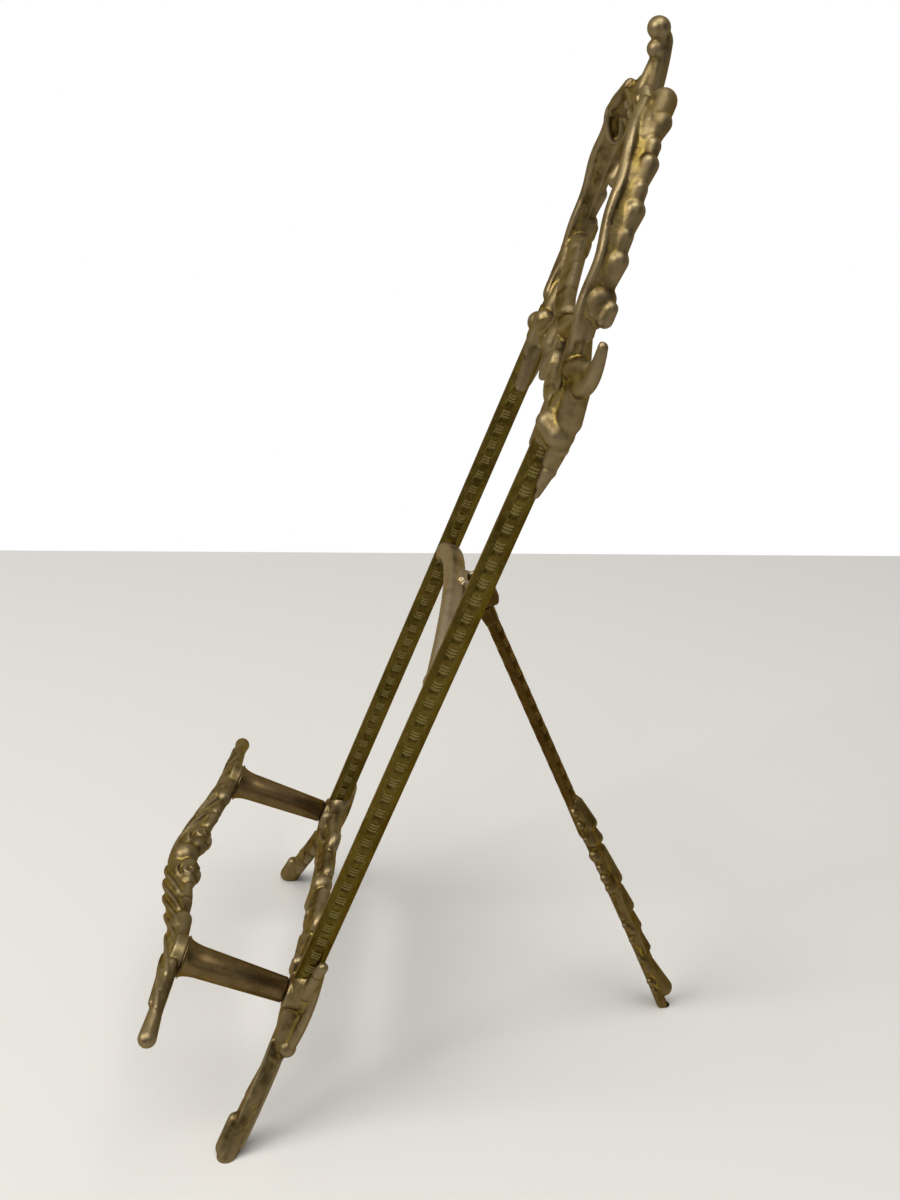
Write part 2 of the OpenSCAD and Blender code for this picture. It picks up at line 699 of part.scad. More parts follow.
// Leaf foot: a blade that swells to the rear, with a spine of lobes, leaf edges, beads and a toe
module leaf_blade() {
    k = leaf_unit;
    edge = leaf_half_width;
    top = leaf_lap - shank_end;
    path = bezier([0, top, -0.4 * k], [0, -shank_end - 0.3 * leaf_length, -1.2 * k],
                  [0, 0.3 * leaf_length - leg_length, -1.4 * k],
                  [0, -leg_length - leaf_overrun, -0.4 * k], 14);
    scroll(path, edge - 1.4 * leaf_margin, 1.6 * k, 2.3 * k, 1.4 * k, 1.2 * k);
    scroll(shifted(path, [0, 0, 0.9 * k]), edge - leaf_margin, 1.7 * k, 1.3 * k, k, 1.4 * k);
    half_w = tenon_w / 2 + ferrule_wall;
    half_d = tenon_t / 2 + ferrule_wall;
    ferrule = [for (i = [0:4]) [0, lerp(top, -shank_end - 1.4 * tenon_length, i / 4), -0.3 * k]];
    scroll(ferrule, half_w, half_w, half_d, half_d);
    lobe(path[11] - [0, 0, 1.2 * k], path[12] - [0, 2.4 * k, 1.9 * k], 2.5 * k, 2.8 * k);
    for (s = [[1, 2, 1.9], [3, 3, 2], [4, 6, 1.9], [7, 8, 2], [9, 10, 1.6]])
        lobe(path[s[0]] - [0, 0, 1.8 * k], path[s[1]] - [0, 0.6 * k, 1.8 * k], s[2] * k, (s[2] - 0.2) * k);
    both_sides() for (i = [1:4:9]) {
        rim = path[i] + [edge - leaf_margin, -3 * k, -0.4 * k];
        lobe(path[i] + [edge - 2.5 * leaf_margin, 0, -0.2 * k], rim, 1.7 * k, 1.5 * k);
        bead(rim - k * [0.7, 5.4, -0.5], 1.4 * k);
    }
}

module hinge_pin() {
    grip = head_t / 2 + ear_gap + ear_t;
    rivet_r = pin_d * 0.85;
    rivet_t = 0.9;
    color(turned_brass) on_frame() translate([0, pivot_height, -pivot_back]) rotate([0, 90, 0]) {
        translate([0, 0, -grip]) cylinder(d = pin_d, h = 2 * grip, $fn = round_steps);
        for (end = [0, 1]) mirror([0, 0, end]) translate([0, 0, grip])
            cylinder(r1 = rivet_r, r2 = rivet_r * 0.6, h = rivet_t, $fn = round_steps);
    }
}

crest();
left_rod();
right_rod();
crossbar();
left_foot();
right_foot();
apron();
front_rail();
left_post();
right_post();
post_screws();
rear_leg();
leg_foot();
hinge_pin();
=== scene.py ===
"""Dresses the folding brass book stand: engraved rods, scroll castings, turned posts and the hinged leg.

Points are drawn as [across, up, front] in millimetres. Across runs along X, up runs along the leaning
frame or along the leg, and front stands square to it on the reader's side. They become metres when a
mesh is made.
"""

import json
import logging
from dataclasses import dataclass
from enum import Enum
from math import atan2, cos, hypot, pi, radians, sin
from typing import Callable, Sequence

import bmesh
import bpy
import numpy as np
from mathutils import Matrix, Vector
from numpy.typing import NDArray

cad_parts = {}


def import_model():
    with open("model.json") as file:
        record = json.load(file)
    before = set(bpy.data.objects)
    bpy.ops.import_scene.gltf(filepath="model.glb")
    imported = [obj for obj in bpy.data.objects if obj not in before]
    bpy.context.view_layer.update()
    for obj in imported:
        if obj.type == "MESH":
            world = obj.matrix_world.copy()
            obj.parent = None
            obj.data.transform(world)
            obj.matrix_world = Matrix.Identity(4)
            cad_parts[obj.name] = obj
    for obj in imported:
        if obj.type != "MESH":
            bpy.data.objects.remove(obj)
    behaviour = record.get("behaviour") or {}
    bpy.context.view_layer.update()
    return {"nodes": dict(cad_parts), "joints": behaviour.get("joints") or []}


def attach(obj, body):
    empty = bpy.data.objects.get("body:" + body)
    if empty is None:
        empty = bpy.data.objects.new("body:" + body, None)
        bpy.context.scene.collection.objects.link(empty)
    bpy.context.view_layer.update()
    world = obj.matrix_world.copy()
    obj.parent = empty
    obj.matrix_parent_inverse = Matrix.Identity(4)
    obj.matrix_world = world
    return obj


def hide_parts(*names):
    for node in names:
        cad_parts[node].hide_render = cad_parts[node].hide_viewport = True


Points = NDArray[np.float64]
Faces = NDArray[np.int64]
Pair = tuple[float, float]
Triple = tuple[float, float, float]
Key = str | int
Mesh = bpy.types.Mesh
Socket = bpy.types.NodeSocket

LOG = logging.getLogger("book_stand")
MM = 0.001
FRONT = np.array([0.0, 0.0, 1.0])
UP = np.array([0.0, 1.0, 0.0])
ACROSS = np.array([1.0, 0.0, 0.0])
LOBE_RINGS = 9
LOBE_SIDES = 18
STEEP = 0.9
BEAD_GAP = 0.02
MERGE_M = 1e-7
FLAT_M = 1e-8


class Body(Enum):
    """The two bodies that the pieces ride on."""

    FRAME = "frame"
    LEG = "leg"


class Slot(Enum):
    """The material slots of the stand."""

    CAST = "cast_brass"
    ENGRAVED = "engraved_brass"
    TURNED = "turned_brass"


@dataclass(frozen=True)
class Shell:
    """A surface of quads in millimetres.

    Attributes:
        points: One row of three coordinates per point.
        faces: One row of four point numbers per quad, facing outwards.
    """

    points: Points
    faces: Faces

    def mirrored(self) -> "Shell":
        """The same shell on the other side of the stand's middle, still facing outwards."""
        return Shell(self.points * np.array([-1.0, 1.0, 1.0]), self.faces[:, ::-1])

    @staticmethod
    def joined(shells: Sequence["Shell"]) -> "Shell":
        """Puts several shells into one.

        Args:
            shells: The shells to join.

        Returns:
            One shell with all their points and faces.
        """
        counts = [len(shell.points) for shell in shells]
        starts = np.cumsum([0] + counts[:-1])
        points = np.concatenate([shell.points for shell in shells])
        faces = np.concatenate([shell.faces + start for shell, start in zip(shells, starts)])
        return Shell(points, faces)


def both_sides(shells: Sequence[Shell]) -> list[Shell]:
    """The shells and their mirror images."""
    return list(shells) + [shell.mirrored() for shell in shells]


def point(across: float, up: float, front: float) -> Points:
    """One point as an array."""
    return np.array([across, up, front], dtype=float)


def unit(vectors: Points) -> Points:
    """The vectors at length one."""
    return vectors / np.linalg.norm(vectors, axis=-1, keepdims=True)


def smooth_step(value: Points) -> Points:
    """Runs from 0 to 1 as the value does, level at both ends."""
    held = np.clip(value, 0.0, 1.0)
    return held * held * (3.0 - 2.0 * held)


def ring_faces(rings: int, sides: int) -> Faces:
    """Quads between rings of points that close on themselves.

    Args:
        rings: Number of rings.
        sides: Points in each ring.

    Returns:
        The quads, facing outwards when the rings turn left about their direction of travel.
    """
    ring, side = np.meshgrid(np.arange(rings - 1), np.arange(sides), indexing="ij")
    after = (side + 1) % sides
    low = ring * sides
    high = low + sides
    return np.stack([low + side, low + after, high + after, high + side], axis=-1).reshape(-1, 4)


def bezier(a: Points, b: Points, c: Points, d: Points, steps: int = 72) -> Points:
    """Points along a cubic curve.

    Args:
        a: Start of the curve.
        b: Point that it leaves towards.
        c: Point that it comes in from.
        d: End of the curve.
        steps: Number of points.

    Returns:
        The points s^3 a + 3 s^2 t b + 3 s t^2 c + t^3 d, where t runs from 0 to 1 and s is 1 - t.
    """
    t = np.linspace(0.0, 1.0, steps)[:, None]
    s = 1.0 - t
    return s**3 * a + 3 * s * s * t * b + 3 * s * t * t * c + t**3 * d


def sides_of(path: Points) -> tuple[Points, Points]:
    """Directions along a path, and square to it and to the front."""
    along = unit(np.gradient(path, axis=0))
    return along, unit(np.cross(along, FRONT))


def pushed(path: Points, first: float, last: float) -> Points:
    """The path moved forward, by the first distance at its start and by the last one at its end."""
    return path + np.linspace(first, last, len(path))[:, None] * FRONT


def wavy(path: Points, size: float, waves: float) -> Points:
    """Gives a path a hand-cast unevenness.

    Args:
        path: The even path.
        size: Height of the waves.
        waves: Number of waves.

    Returns:
        The path moved by size sin(2 pi waves t) sideways, and by as much of a slower wave forward.
    """
    t = np.linspace(0.0, 2 * pi, len(path))[:, None]
    across = sides_of(path)[1]
    return path + size * np.sin(waves * t) * across + size * np.sin(0.7 * waves * t + 1.0) * FRONT


def volute(centre: Points, radii: Pair, turns: Pair, steps: int = 64) -> Points:
    """Points along a flat spiral.

    Args:
        centre: Middle of the spiral.
        radii: First and last radius.
        turns: First and last angle in degrees, from the across direction towards up.
        steps: Number of points.

    Returns:
        The points, with radius and angle changing steadily.
    """
    t = np.linspace(0.0, 1.0, steps)
    radius = radii[0] + (radii[1] - radii[0]) * t
    angle = np.radians(turns[0] + (turns[1] - turns[0]) * t)
    return centre + np.stack([radius * np.cos(angle), radius * np.sin(angle), 0 * t], axis=1)


def scroll(
    path: Points,
    width: Pair,
    depth: Pair,
    bulge: float = 0.0,
    facing: Points = FRONT,
    square: float = 2.0,
    ends: float | None = None,
    sides: int = 20,
) -> Shell:
    """Oval bar carried along a path.

    Each ring is path + w cos(a) across + d sin(a) facing, where across is square to the path and to
    facing. Both half sizes run steadily from the first to the last value, and close over the ends like
    the edge of a circle.

    Args:
        path: Points of the middle line.
        width: First and last half width, across the path.
        depth: First and last half depth, along facing.
        bulge: Extra half width at the middle of the path.
        facing: Direction of the depth.
        square: Power of the section: 2 is an oval, more is squarer.
        ends: Length over which each end closes, or the end's own half width.
        sides: Points around the bar.

    Returns:
        The bar as a closed shell.
    """
    steps = np.linalg.norm(np.diff(path, axis=0), axis=1)
    run = np.concatenate([[0.0], np.cumsum(steps)])
    share = run / run[-1]
    along = unit(np.gradient(path, axis=0))
    across = unit(np.cross(along, facing))
    first = ends or width[0]
    last = ends or width[1]
    near = np.minimum(run / first, (run[-1] - run) / last)
    close = np.sqrt(np.clip(1.0 - (1.0 - np.clip(near, 0.0, 1.0)) ** 2, 0.0, 1.0))
    w = (width[0] + (width[1] - width[0]) * share + bulge * np.sin(pi * share)) * close
    d = (depth[0] + (depth[1] - depth[0]) * share) * close
    angle = np.linspace(0.0, 2 * pi, sides, endpoint=False)
    side = np.sign(np.cos(angle)) * np.abs(np.cos(angle)) ** (2 / square)
    rise = np.sign(np.sin(angle)) * np.abs(np.sin(angle)) ** (2 / square)
    rings = (
        path[:, None, :]
        + w[:, None, None] * side[None, :, None] * across[:, None, :]
        + d[:, None, None] * rise[None, :, None] * facing
    )
    return Shell(rings.reshape(-1, 3), ring_faces(len(path), sides)[:, ::-1])


def lobe(a: Points, b: Points, first: float, last: float, flat: float = 1.0) -> Shell:
    """Leaf lobe: two half balls joined by a cone.

    Args:
        a: Middle of the first ball.
        b: Middle of the last ball.
        first: Radius of the first ball.
        last: Radius of the last ball.
        flat: Share of the radius that is kept towards the front.

    Returns:
        The lobe as a closed shell.
    """
    turn = np.concatenate([np.linspace(0.0, pi / 2, LOBE_RINGS), np.linspace(pi / 2, pi, LOBE_RINGS)])
    late = np.arange(len(turn)) >= LOBE_RINGS
    radius = np.where(late, last, first)
    length = np.linalg.norm(b - a)
    axis = (b - a) / length
    guide = UP if abs(axis @ FRONT) > STEEP else FRONT
    across = unit(np.cross(axis, guide))
    lift = np.cross(across, axis)
    along = np.where(late, length, 0.0) - radius * np.cos(turn)
    ring = radius * np.sin(turn)
    angle = np.linspace(0.0, 2 * pi, LOBE_SIDES, endpoint=False)
    round_part = np.cos(angle)[:, None] * across + flat * np.sin(angle)[:, None] * lift
    rings = a + along[:, None, None] * axis + ring[:, None, None] * round_part[None, :, :]
    return Shell(rings.reshape(-1, 3), ring_faces(len(turn), LOBE_SIDES)[:, ::-1])


def lobes(place: Callable[..., Points], *rows: Sequence[float]) -> list[Shell]:
    """Leaf lobes from rows of two middles, each as three numbers for place, and two radii."""
    return [lobe(place(*row[:3]), place(*row[3:6]), *row[6:]) for row in rows]


def bead(centre: Points, radius: float) -> Shell:
    """A ball."""
    return lobe(centre, centre + BEAD_GAP * UP, radius, radius)


@dataclass(frozen=True)
class Plane:
    """A leaning plane that pieces are drawn on.

    Attributes:
        origin: World point of [0, 0, 0], in millimetres.
        up: World direction of up.
        front: World direction of front.
    """

    origin: Points
    up: Points
    front: Points

    def world(self, points: Points) -> Points:
        """World place of drawn points, in metres."""
        basis = np.stack([ACROSS, self.up, self.front])
        return (self.origin + points @ basis) * MM


@dataclass(frozen=True)
class Layout:
    """The stand's driving dimensions in millimetres, and the planes that they give.

    Attributes:
        lean: Lean of the frame from upright, in degrees.
        rod_x: Distance of each rod from the middle.
        rod_half: Half the rod's size across its flats.
        corner: Height of the post axis along the frame.
        rod_foot: Height of the rods' lower ends.
        rod_top: Height of the rods' upper ends.
        rise: Height of the crest's finial over the rods.
        curl: How far the finial curls forward.
        bend: Share of the rise at which the crest starts to curl.
        bar_up: Height of the crossbar's middle.
        pin_up: Height of the hinge pin.
        pin_back: Distance of the hinge pin behind the frame.
        leg_reach: Distance from the frame's foot line to the leg's tip.
    """

    lean: float = 22.0
    rod_x: float = 44.0
    rod_half: float = 3.05
    corner: float = 43.4
    rod_foot: float = 47.2
    rod_top: float = 228.2
    rise: float = 80.0
    curl: float = 8.4
    bend: float = 0.275
    bar_up: float = 157.5
    pin_up: float = 159.3
    pin_back: float = 6.0
    leg_reach: float = 124.0

    def frame_plane(self, pin: Points) -> Plane:
        """The leaning frame's middle plane.

        Args:
            pin: World place of the hinge pin in millimetres.

        Returns:
            The plane whose up direction leans back from the foot line.
        """
        lean = radians(self.lean)
        up = np.array([0.0, sin(lean), cos(lean)])
        front = np.array([0.0, -cos(lean), sin(lean)])
        return Plane(pin - self.pin_up * up + self.pin_back * front, up, front)

    def leg_plane(self, pin: Points) -> Plane:
        """The leg's middle plane, with its origin at the hinge pin.

        Args:
            pin: World place of the hinge pin in millimetres.

        Returns:
            The plane whose up direction runs from the leg's tip to the pin.
        """
        tip_y = self.frame_plane(pin).origin[1] + self.leg_reach
        slope = atan2(tip_y - pin[1], pin[2])
        up = np.array([0.0, -sin(slope), cos(slope)])
        front = np.array([0.0, -cos(slope), -sin(slope)])
        return Plane(pin, up, front)

    def leg_length(self, pin: Points) -> float:
        """Distance from the pin to the leg's tip on the floor."""
        tip_y = self.frame_plane(pin).origin[1] + self.leg_reach
        return hypot(tip_y - pin[1], pin[2])

    def curled(self, points: Points) -> Points:
        """Bends points above the rods forward.

        Args:
            points: The straight points.

        Returns:
            The points, moved forward with the square of their height over the bend.
        """
        bend = self.bend * self.rise
        over = np.clip(points[..., 1] - self.rod_top - bend, 0.0, None) / (self.rise - bend)
        return points + self.curl * (over**2)[..., None] * FRONT


@dataclass(frozen=True)
class Finish:
    """Aged brass: a brown skin, rubbed on high places and still golden in the recesses, with dirt and painted
    shade in the deepest creases.

    Attributes:
        name: Name of the material.
        face: Colour of the skin.
        dark: Colour of the skin's darker patches, and of the dirt and painted shade in the deepest creases.
        rubbed: Colour of high places.
        gold: Colour of the recesses.
        edge: Tint of grazing reflections.
        gold_share: How much of the gold shows in the recesses.
        crease_dirt_and_shade: How much of the dark shows in the deepest creases, standing for dirt and for
            painted shade.
        roughness: Roughness of the smoothest and of the dullest patches.
        grain: Depth of the casting grain in millimetres.
        dents: Depth of the broad dents in millimetres.
        patch: Size of the patches in millimetres.
        speckle: Size of the specks that break up the gold, in millimetres.
        fine: Size of the casting grain in millimetres.
        dent_size: Size of the broad dents in millimetres.
    """

    name: str
    face: Triple
    dark: Triple
    rubbed: Triple
    gold: Triple
    edge: Triple = (0.6, 0.47, 0.26)
    gold_share: float = 0.8
    crease_dirt_and_shade: float = 0.85
    roughness: Pair = (0.3, 0.46)
    grain: float = 0.05
    dents: float = 0.12
    patch: float = 9.0
    speckle: float = 0.9
    fine: float = 0.28
    dent_size: float = 2.2

    def material(self) -> bpy.types.Material:
        """Builds the material from its nodes.

        Returns:
            The material, which reads Object coordinates and the piece's own recess attribute.
        """
        made = bpy.data.materials.get(self.name)
        if made:
            return made
        made = bpy.data.materials.new(self.name)
        made.use_nodes = True
        sheet = NodeSheet(made.node_tree)
        coordinates = sheet.add("ShaderNodeTexCoord").outputs["Object"]
        recess = sheet.add("ShaderNodeAttribute", attribute_name="recess").outputs["Fac"]
        patches = sheet.noise(coordinates, self.patch, detail=5.0, roughness=0.6)
        speckle = sheet.noise(coordinates, self.speckle, detail=3.0, roughness=0.65)
        fine = sheet.noise(coordinates, self.fine, detail=2.0, roughness=0.6)
        dents = sheet.noise(coordinates, self.dent_size, detail=2.0, roughness=0.5)
        skin = sheet.mix(sheet.ramp(patches, 0.44, 0.66), self.face, self.dark)
        high = sheet.math("MULTIPLY", sheet.ramp(recess, -0.15, -0.9), 0.7)
        skin = sheet.mix(high, skin, self.rubbed)
        broken = sheet.math("ADD", recess, sheet.math("MULTIPLY", sheet.math("SUBTRACT", speckle, 0.5), 1.4))
        golden = sheet.math("MULTIPLY", sheet.ramp(broken, -0.02, 0.66), self.gold_share)
        # Painted shade, with dirt: the deepest creases are darkened towards the dark colour.
        crease_dirt_and_shade = sheet.math("MULTIPLY", sheet.ramp(recess, 0.6, 1.25), self.crease_dirt_and_shade)
        colour = sheet.mix(crease_dirt_and_shade, sheet.mix(golden, skin, self.gold), self.dark)
        dull = sheet.ramp(sheet.noise(coordinates, self.patch * 0.4, detail=4.0, roughness=0.6), 0.3, 0.7)
        roughness = sheet.span(dull, *self.roughness)
        height = sheet.math("MULTIPLY", fine, sheet.span(golden, 0.35, 1.0))
        height = sheet.math("ADD", height, sheet.math("MULTIPLY", dents, self.dents / self.grain))
        bump = sheet.add("ShaderNodeBump")
        bump.inputs["Strength"].default_value = 0.5
        bump.inputs["Distance"].default_value = self.grain * MM
        sheet.link(height, bump.inputs["Height"])
        shader = sheet.shader()
        shader.inputs["Metallic"].default_value = 0.96
        shader.inputs["Specular IOR Level"].default_value = 0.25
        shader.inputs["Specular Tint"].default_value = (*self.edge, 1.0)
        sheet.link(colour, shader.inputs["Base Color"])
        sheet.link(roughness, shader.inputs["Roughness"])
        sheet.link(bump.outputs["Normal"], shader.inputs["Normal"])
        return made


class NodeSheet:
    """Short ways to add nodes to one material."""

    def __init__(self, tree: bpy.types.NodeTree) -> None:
        """Keeps the tree that the nodes go into."""
        self.tree = tree

    def add(self, kind: str, **settings: object) -> bpy.types.Node:
        """Adds a node.

        Args:
            kind: Type of the node.
            settings: Properties to set on it.

        Returns:
            The node.
        """
        node = self.tree.nodes.new(kind)
        for name, value in settings.items():
            setattr(node, name, value)
        return node

    def link(self, source: Socket, target: Socket) -> None:
        """Joins an output to an input."""
        self.tree.links.new(source, target)

    def feed(self, value: object, target: Socket) -> None:
        """Links a socket to the target, or sets a number or colour on it.

        Args:
            value: The socket, number or colour.
            target: The input that takes it.
        """
        if isinstance(value, Socket):
            self.link(value, target)
        elif isinstance(value, tuple):
            target.default_value = (*value, 1.0)
        else:
            target.default_value = value

    def result(self, kind: str, output: Key, inputs: dict[Key, object], **settings: object) -> Socket:
        """Adds a node and feeds it.

        Args:
            kind: Type of the node.
            output: Name or number of the output that is wanted.
            inputs: A socket, number or colour for each input.
            settings: Properties to set on the node.

        Returns:
            The wanted output.
        """
        node = self.add(kind, **settings)
        for name, value in inputs.items():
            self.feed(value, node.inputs[name])
        return node.outputs[output]

    def shader(self) -> bpy.types.Node:
        """The material's own surface shader."""
        return next(node for node in self.tree.nodes if node.type == "BSDF_PRINCIPLED")

    def noise(self, coordinates: Socket, size: float, detail: float, roughness: float) -> Socket:
        """Noise whose patches are about the given size in millimetres."""
        inputs = {"Vector": coordinates, "Scale": 1.0 / (size * MM), "Detail": detail, "Roughness": roughness}
        return self.result("ShaderNodeTexNoise", "Fac", inputs)

    def math(self, operation: str, first: object, second: object) -> Socket:
        """One sum of two values."""
        return self.result("ShaderNodeMath", "Value", {0: first, 1: second}, operation=operation)

    def ramp(self, value: Socket, start: float, end: float) -> Socket:
        """Runs smoothly from 0 at start to 1 at end."""
        inputs = {"Value": value, "From Min": start, "From Max": end}
        return self.result("ShaderNodeMapRange", "Result", inputs, interpolation_type="SMOOTHSTEP")

    def span(self, value: Socket, low: float, high: float) -> Socket:
        """Turns a value from 0 to 1 into one from low to high."""
        return self.result("ShaderNodeMapRange", "Result", {"Value": value, "To Min": low, "To Max": high})

    def mix(self, share: Socket, first: object, second: object) -> Socket:
        """Mixes two colours."""
        return self.result("ShaderNodeMix", 2, {"Factor": share, 6: first, 7: second}, data_type="RGBA")


CASTING = Finish(
    "aged_casting",
    face=(0.19, 0.139, 0.062),
    dark=(0.058, 0.036, 0.011),
    rubbed=(0.26, 0.198, 0.108),
    gold=(0.3, 0.214, 0.05),
    gold_share=0.72,
    roughness=(0.38, 0.55),
    grain=0.08,
    dents=0.18,
)
LEAF = Finish(
    "aged_leaf",
    face=(0.135, 0.09, 0.028),
    dark=(0.075, 0.047, 0.013),
    rubbed=(0.2, 0.142, 0.062),
    gold=(0.34, 0.225, 0.035),
    roughness=(0.33, 0.5),
    grain=0.07,
    dents=0.14,
)
WORN = Finish(
    "worn_crossbar",
    face=(0.31, 0.245, 0.15),
    dark=(0.2, 0.15, 0.082),
    rubbed=(0.37, 0.3, 0.2),
    gold=(0.36, 0.25, 0.06),
    grain=0.03,
    dents=0.05,
)
# Leg head and shank: the very dark skin is partly dirt and partly painted shade.
DIRTY_SHADED_SHANK = Finish(
    "shank_dirt_and_painted_shade",
    face=(0.075, 0.04, 0.008),
    dark=(0.05, 0.026, 0.005),
    rubbed=(0.13, 0.08, 0.025),
    gold=(0.26, 0.18, 0.055),
    gold_share=0.65,
    crease_dirt_and_shade=0.0,
    grain=0.02,
    dents=0.04,
)
ROLLED = Finish(
    "aged_rolled_rod",
    face=(0.11, 0.078, 0.014),
    dark=(0.07, 0.047, 0.008),
    rubbed=(0.16, 0.115, 0.04),
    gold=(0.3, 0.235, 0.08),
    gold_share=0.8,
    crease_dirt_and_shade=0.0,
    grain=0.02,
    dents=0.03,
    patch=14.0,
)
TURNED = Finish(
    "aged_turned_post",
    face=(0.15, 0.1, 0.044),
    dark=(0.105, 0.066, 0.026),
    rubbed=(0.2, 0.14, 0.07),
    gold=(0.3, 0.2, 0.06),
    roughness=(0.32, 0.44),
    grain=0.02,
    dents=0.02,
    patch=12.0,
)


def quad_mesh(name: str, points: Points, faces: Faces) -> Mesh:
    """Puts points and quads into a mesh.

    Args:
        name: Name of the mesh.
        points: World points in metres.
        faces: Quads.

    Returns:
        The mesh.
    """
    mesh = bpy.data.meshes.new(name)
    mesh.vertices.add(len(points))
    mesh.vertices.foreach_set("co", points.astype(np.float32).ravel())
    mesh.loops.add(faces.size)
    mesh.loops.foreach_set("vertex_index", faces.astype(np.int32).ravel())
    mesh.polygons.add(len(faces))
    mesh.polygons.foreach_set("loop_start", np.arange(0, faces.size, 4, dtype=np.int32))
    mesh.update(calc_edges=True)
    return mesh


def close_poles(mesh: Mesh) -> None:
    """Merges the points that meet at each pole, and drops the faces that this leaves flat.

    Args:
        mesh: The mesh to close.
    """
    work = bmesh.new()
    work.from_mesh(mesh)
    bmesh.ops.remove_doubles(work, verts=work.verts, dist=MERGE_M)
    bmesh.ops.dissolve_degenerate(work, edges=work.edges, dist=FLAT_M)
    work.to_mesh(mesh)
    work.free()


def add_object(name: str, data: bpy.types.ID) -> bpy.types.Object:
    """Puts a new object into the scene.

    Args:
        name: Name of the object.
        data: Its mesh, lamp or camera.

    Returns:
        The object.
    """
    made = bpy.data.objects.new(name, data)
    bpy.context.scene.collection.objects.link(made)
    return made


def store_recess(mesh: Mesh, recess: Points) -> None:
    """Keeps how deep each point lies as the attribute that the finishes read."""
    attribute = mesh.attributes.new("recess", "FLOAT", "POINT")
    attribute.data.foreach_set("value", recess.astype(np.float32))


def read_points(mesh: Mesh) -> Points:
    """Reads the points of a mesh.

    Args:
        mesh: The mesh.

    Returns:
        One row per point, in metres.
    """
    flat = np.empty(len(mesh.vertices) * 3, dtype=np.float32)
    mesh.vertices.foreach_get("co", flat)
    return flat.reshape(-1, 3).astype(float)


def closed_mesh(name: str, plane: Plane, shell: Shell, place: Points, recess: Points | None = None) -> Mesh:
    """Makes a mesh from a shell whose ends run together in poles.

    Args:
        name: Name of the mesh.
        plane: Plane that it is drawn on.
        shell: The shell.
        place: Where the shell goes on the plane.
        recess: How deep each point lies, where the shell has grooves.

    Returns:
        The mesh with its poles merged.
    """
    mesh = quad_mesh(name, plane.world(shell.points + place), shell.faces)
    if recess is not None:
        store_recess(mesh, recess)
    close_poles(mesh)
    return mesh


def recess_depth(mesh: Mesh, rounds: int) -> Points:
    """How far each point lies under the average of its surroundings, in metres.

    Each round moves a copy of the points half way to the mean of their neighbours. The recess is the
    way from a point to its averaged copy, measured along the surface normal, so it is above 0 in a
    hollow and below 0 on a ridge.

    Args:
        mesh: The mesh to measure.
        rounds: Number of averaging rounds.

    Returns:
        One depth per point.
    """
    points = read_points(mesh)
    edges = np.empty(len(mesh.edges) * 2, dtype=np.int32)
    mesh.edges.foreach_get("vertices", edges)
    edges = edges.reshape(-1, 2)
    normals = np.empty(len(points) * 3, dtype=np.float32)
    mesh.vertex_normals.foreach_get("vector", normals)
    count = np.bincount(edges.ravel(), minlength=len(points)).clip(1)
    average = points.copy()
    for _ in range(rounds):
        total = np.stack(
            [
                np.bincount(edges[:, 0], average[edges[:, 1], axis], len(points))
                + np.bincount(edges[:, 1], average[edges[:, 0], axis], len(points))
                for axis in range(3)
            ],
            axis=1,
        )
        average = 0.5 * average + 0.5 * total / count[:, None]
    return ((average - points) * normals.reshape(-1, 3)).sum(axis=1)


@dataclass(frozen=True)
class Piece:
    """Where a finished piece belongs.

    Attributes:
        name: Name of the piece.
        body: Body that carries it.
        slot: Material slot of the piece; not used.
        finish: Its finish.
        nodes: Solids that it stands for.
    """

    name: str
    body: Body
    slot: Slot
    finish: Finish
    nodes: tuple[str, ...]

    def dress(self, mesh: Mesh) -> None:
        """Makes the piece's object, with its finish and body.

        Args:
            mesh: The finished mesh, in world metres.
        """
        mesh.shade_smooth()
        made = add_object(self.name, mesh)
        mesh.materials.clear()
        mesh.materials.append(self.finish.material())
        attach(made, self.body.value)
        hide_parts(*self.nodes)
        LOG.info("%s: %d faces on %s", self.name, len(mesh.polygons), self.body.value)


@dataclass(frozen=True)
class Casting:
    """How overlapping shells become one cast surface.

    Attributes:
        voxel: Grid size of the fused surface in millimetres.
        soft: Rounds of smoothing after it is fused.
        recess: Depth in millimetres that counts as a full recess.
        looks: Averaging rounds, full depth and weight, for narrow and then for wide recesses.
        most: Deepest recess and highest ridge that are kept.
    """

    voxel: float = 0.4
    soft: int = 4
    recess: float = 0.16
    looks: tuple[tuple[int, float, float], ...] = ((12, 2.0, 0.5), (90, 5.0, 0.9))
    most: float = 1.5

    def mesh(self, name: str, shells: Sequence[Shell], plane: Plane) -> Mesh:
        """Fuses the shells, softens them like a casting and measures their recesses.

        Args:
            name: Name of the mesh.
            shells: Closed shells that overlap.
            plane: Plane that they are drawn on.

        Returns:
            The cast mesh, flat where it stands on the floor.
        """
        whole = Shell.joined(shells)
        rough = add_object(name, quad_mesh(name, plane.world(whole.points), whole.faces))
        fuse = rough.modifiers.new("fuse", "REMESH")
        fuse.mode = "VOXEL"
        fuse.voxel_size = self.voxel * MM
        soften = rough.modifiers.new("soften", "SMOOTH")
        soften.factor = 0.5
        soften.iterations = self.soft
        graph = bpy.context.evaluated_depsgraph_get()
        mesh = bpy.data.meshes.new_from_object(rough.evaluated_get(graph))
        before = rough.data
        bpy.data.objects.remove(rough)
        bpy.data.meshes.remove(before)
        mesh.name = name
        points = read_points(mesh)
        points[:, 2] = np.maximum(points[:, 2], 0.0)
        mesh.vertices.foreach_set("co", points.astype(np.float32).ravel())
        mesh.update()
        depth = sum(
            weight * (recess_depth(mesh, rounds) / (full * self.recess * MM))
            for rounds, full, weight in self.looks
        )
        store_recess(mesh, np.clip(depth, -self.most, self.most))
        return mesh


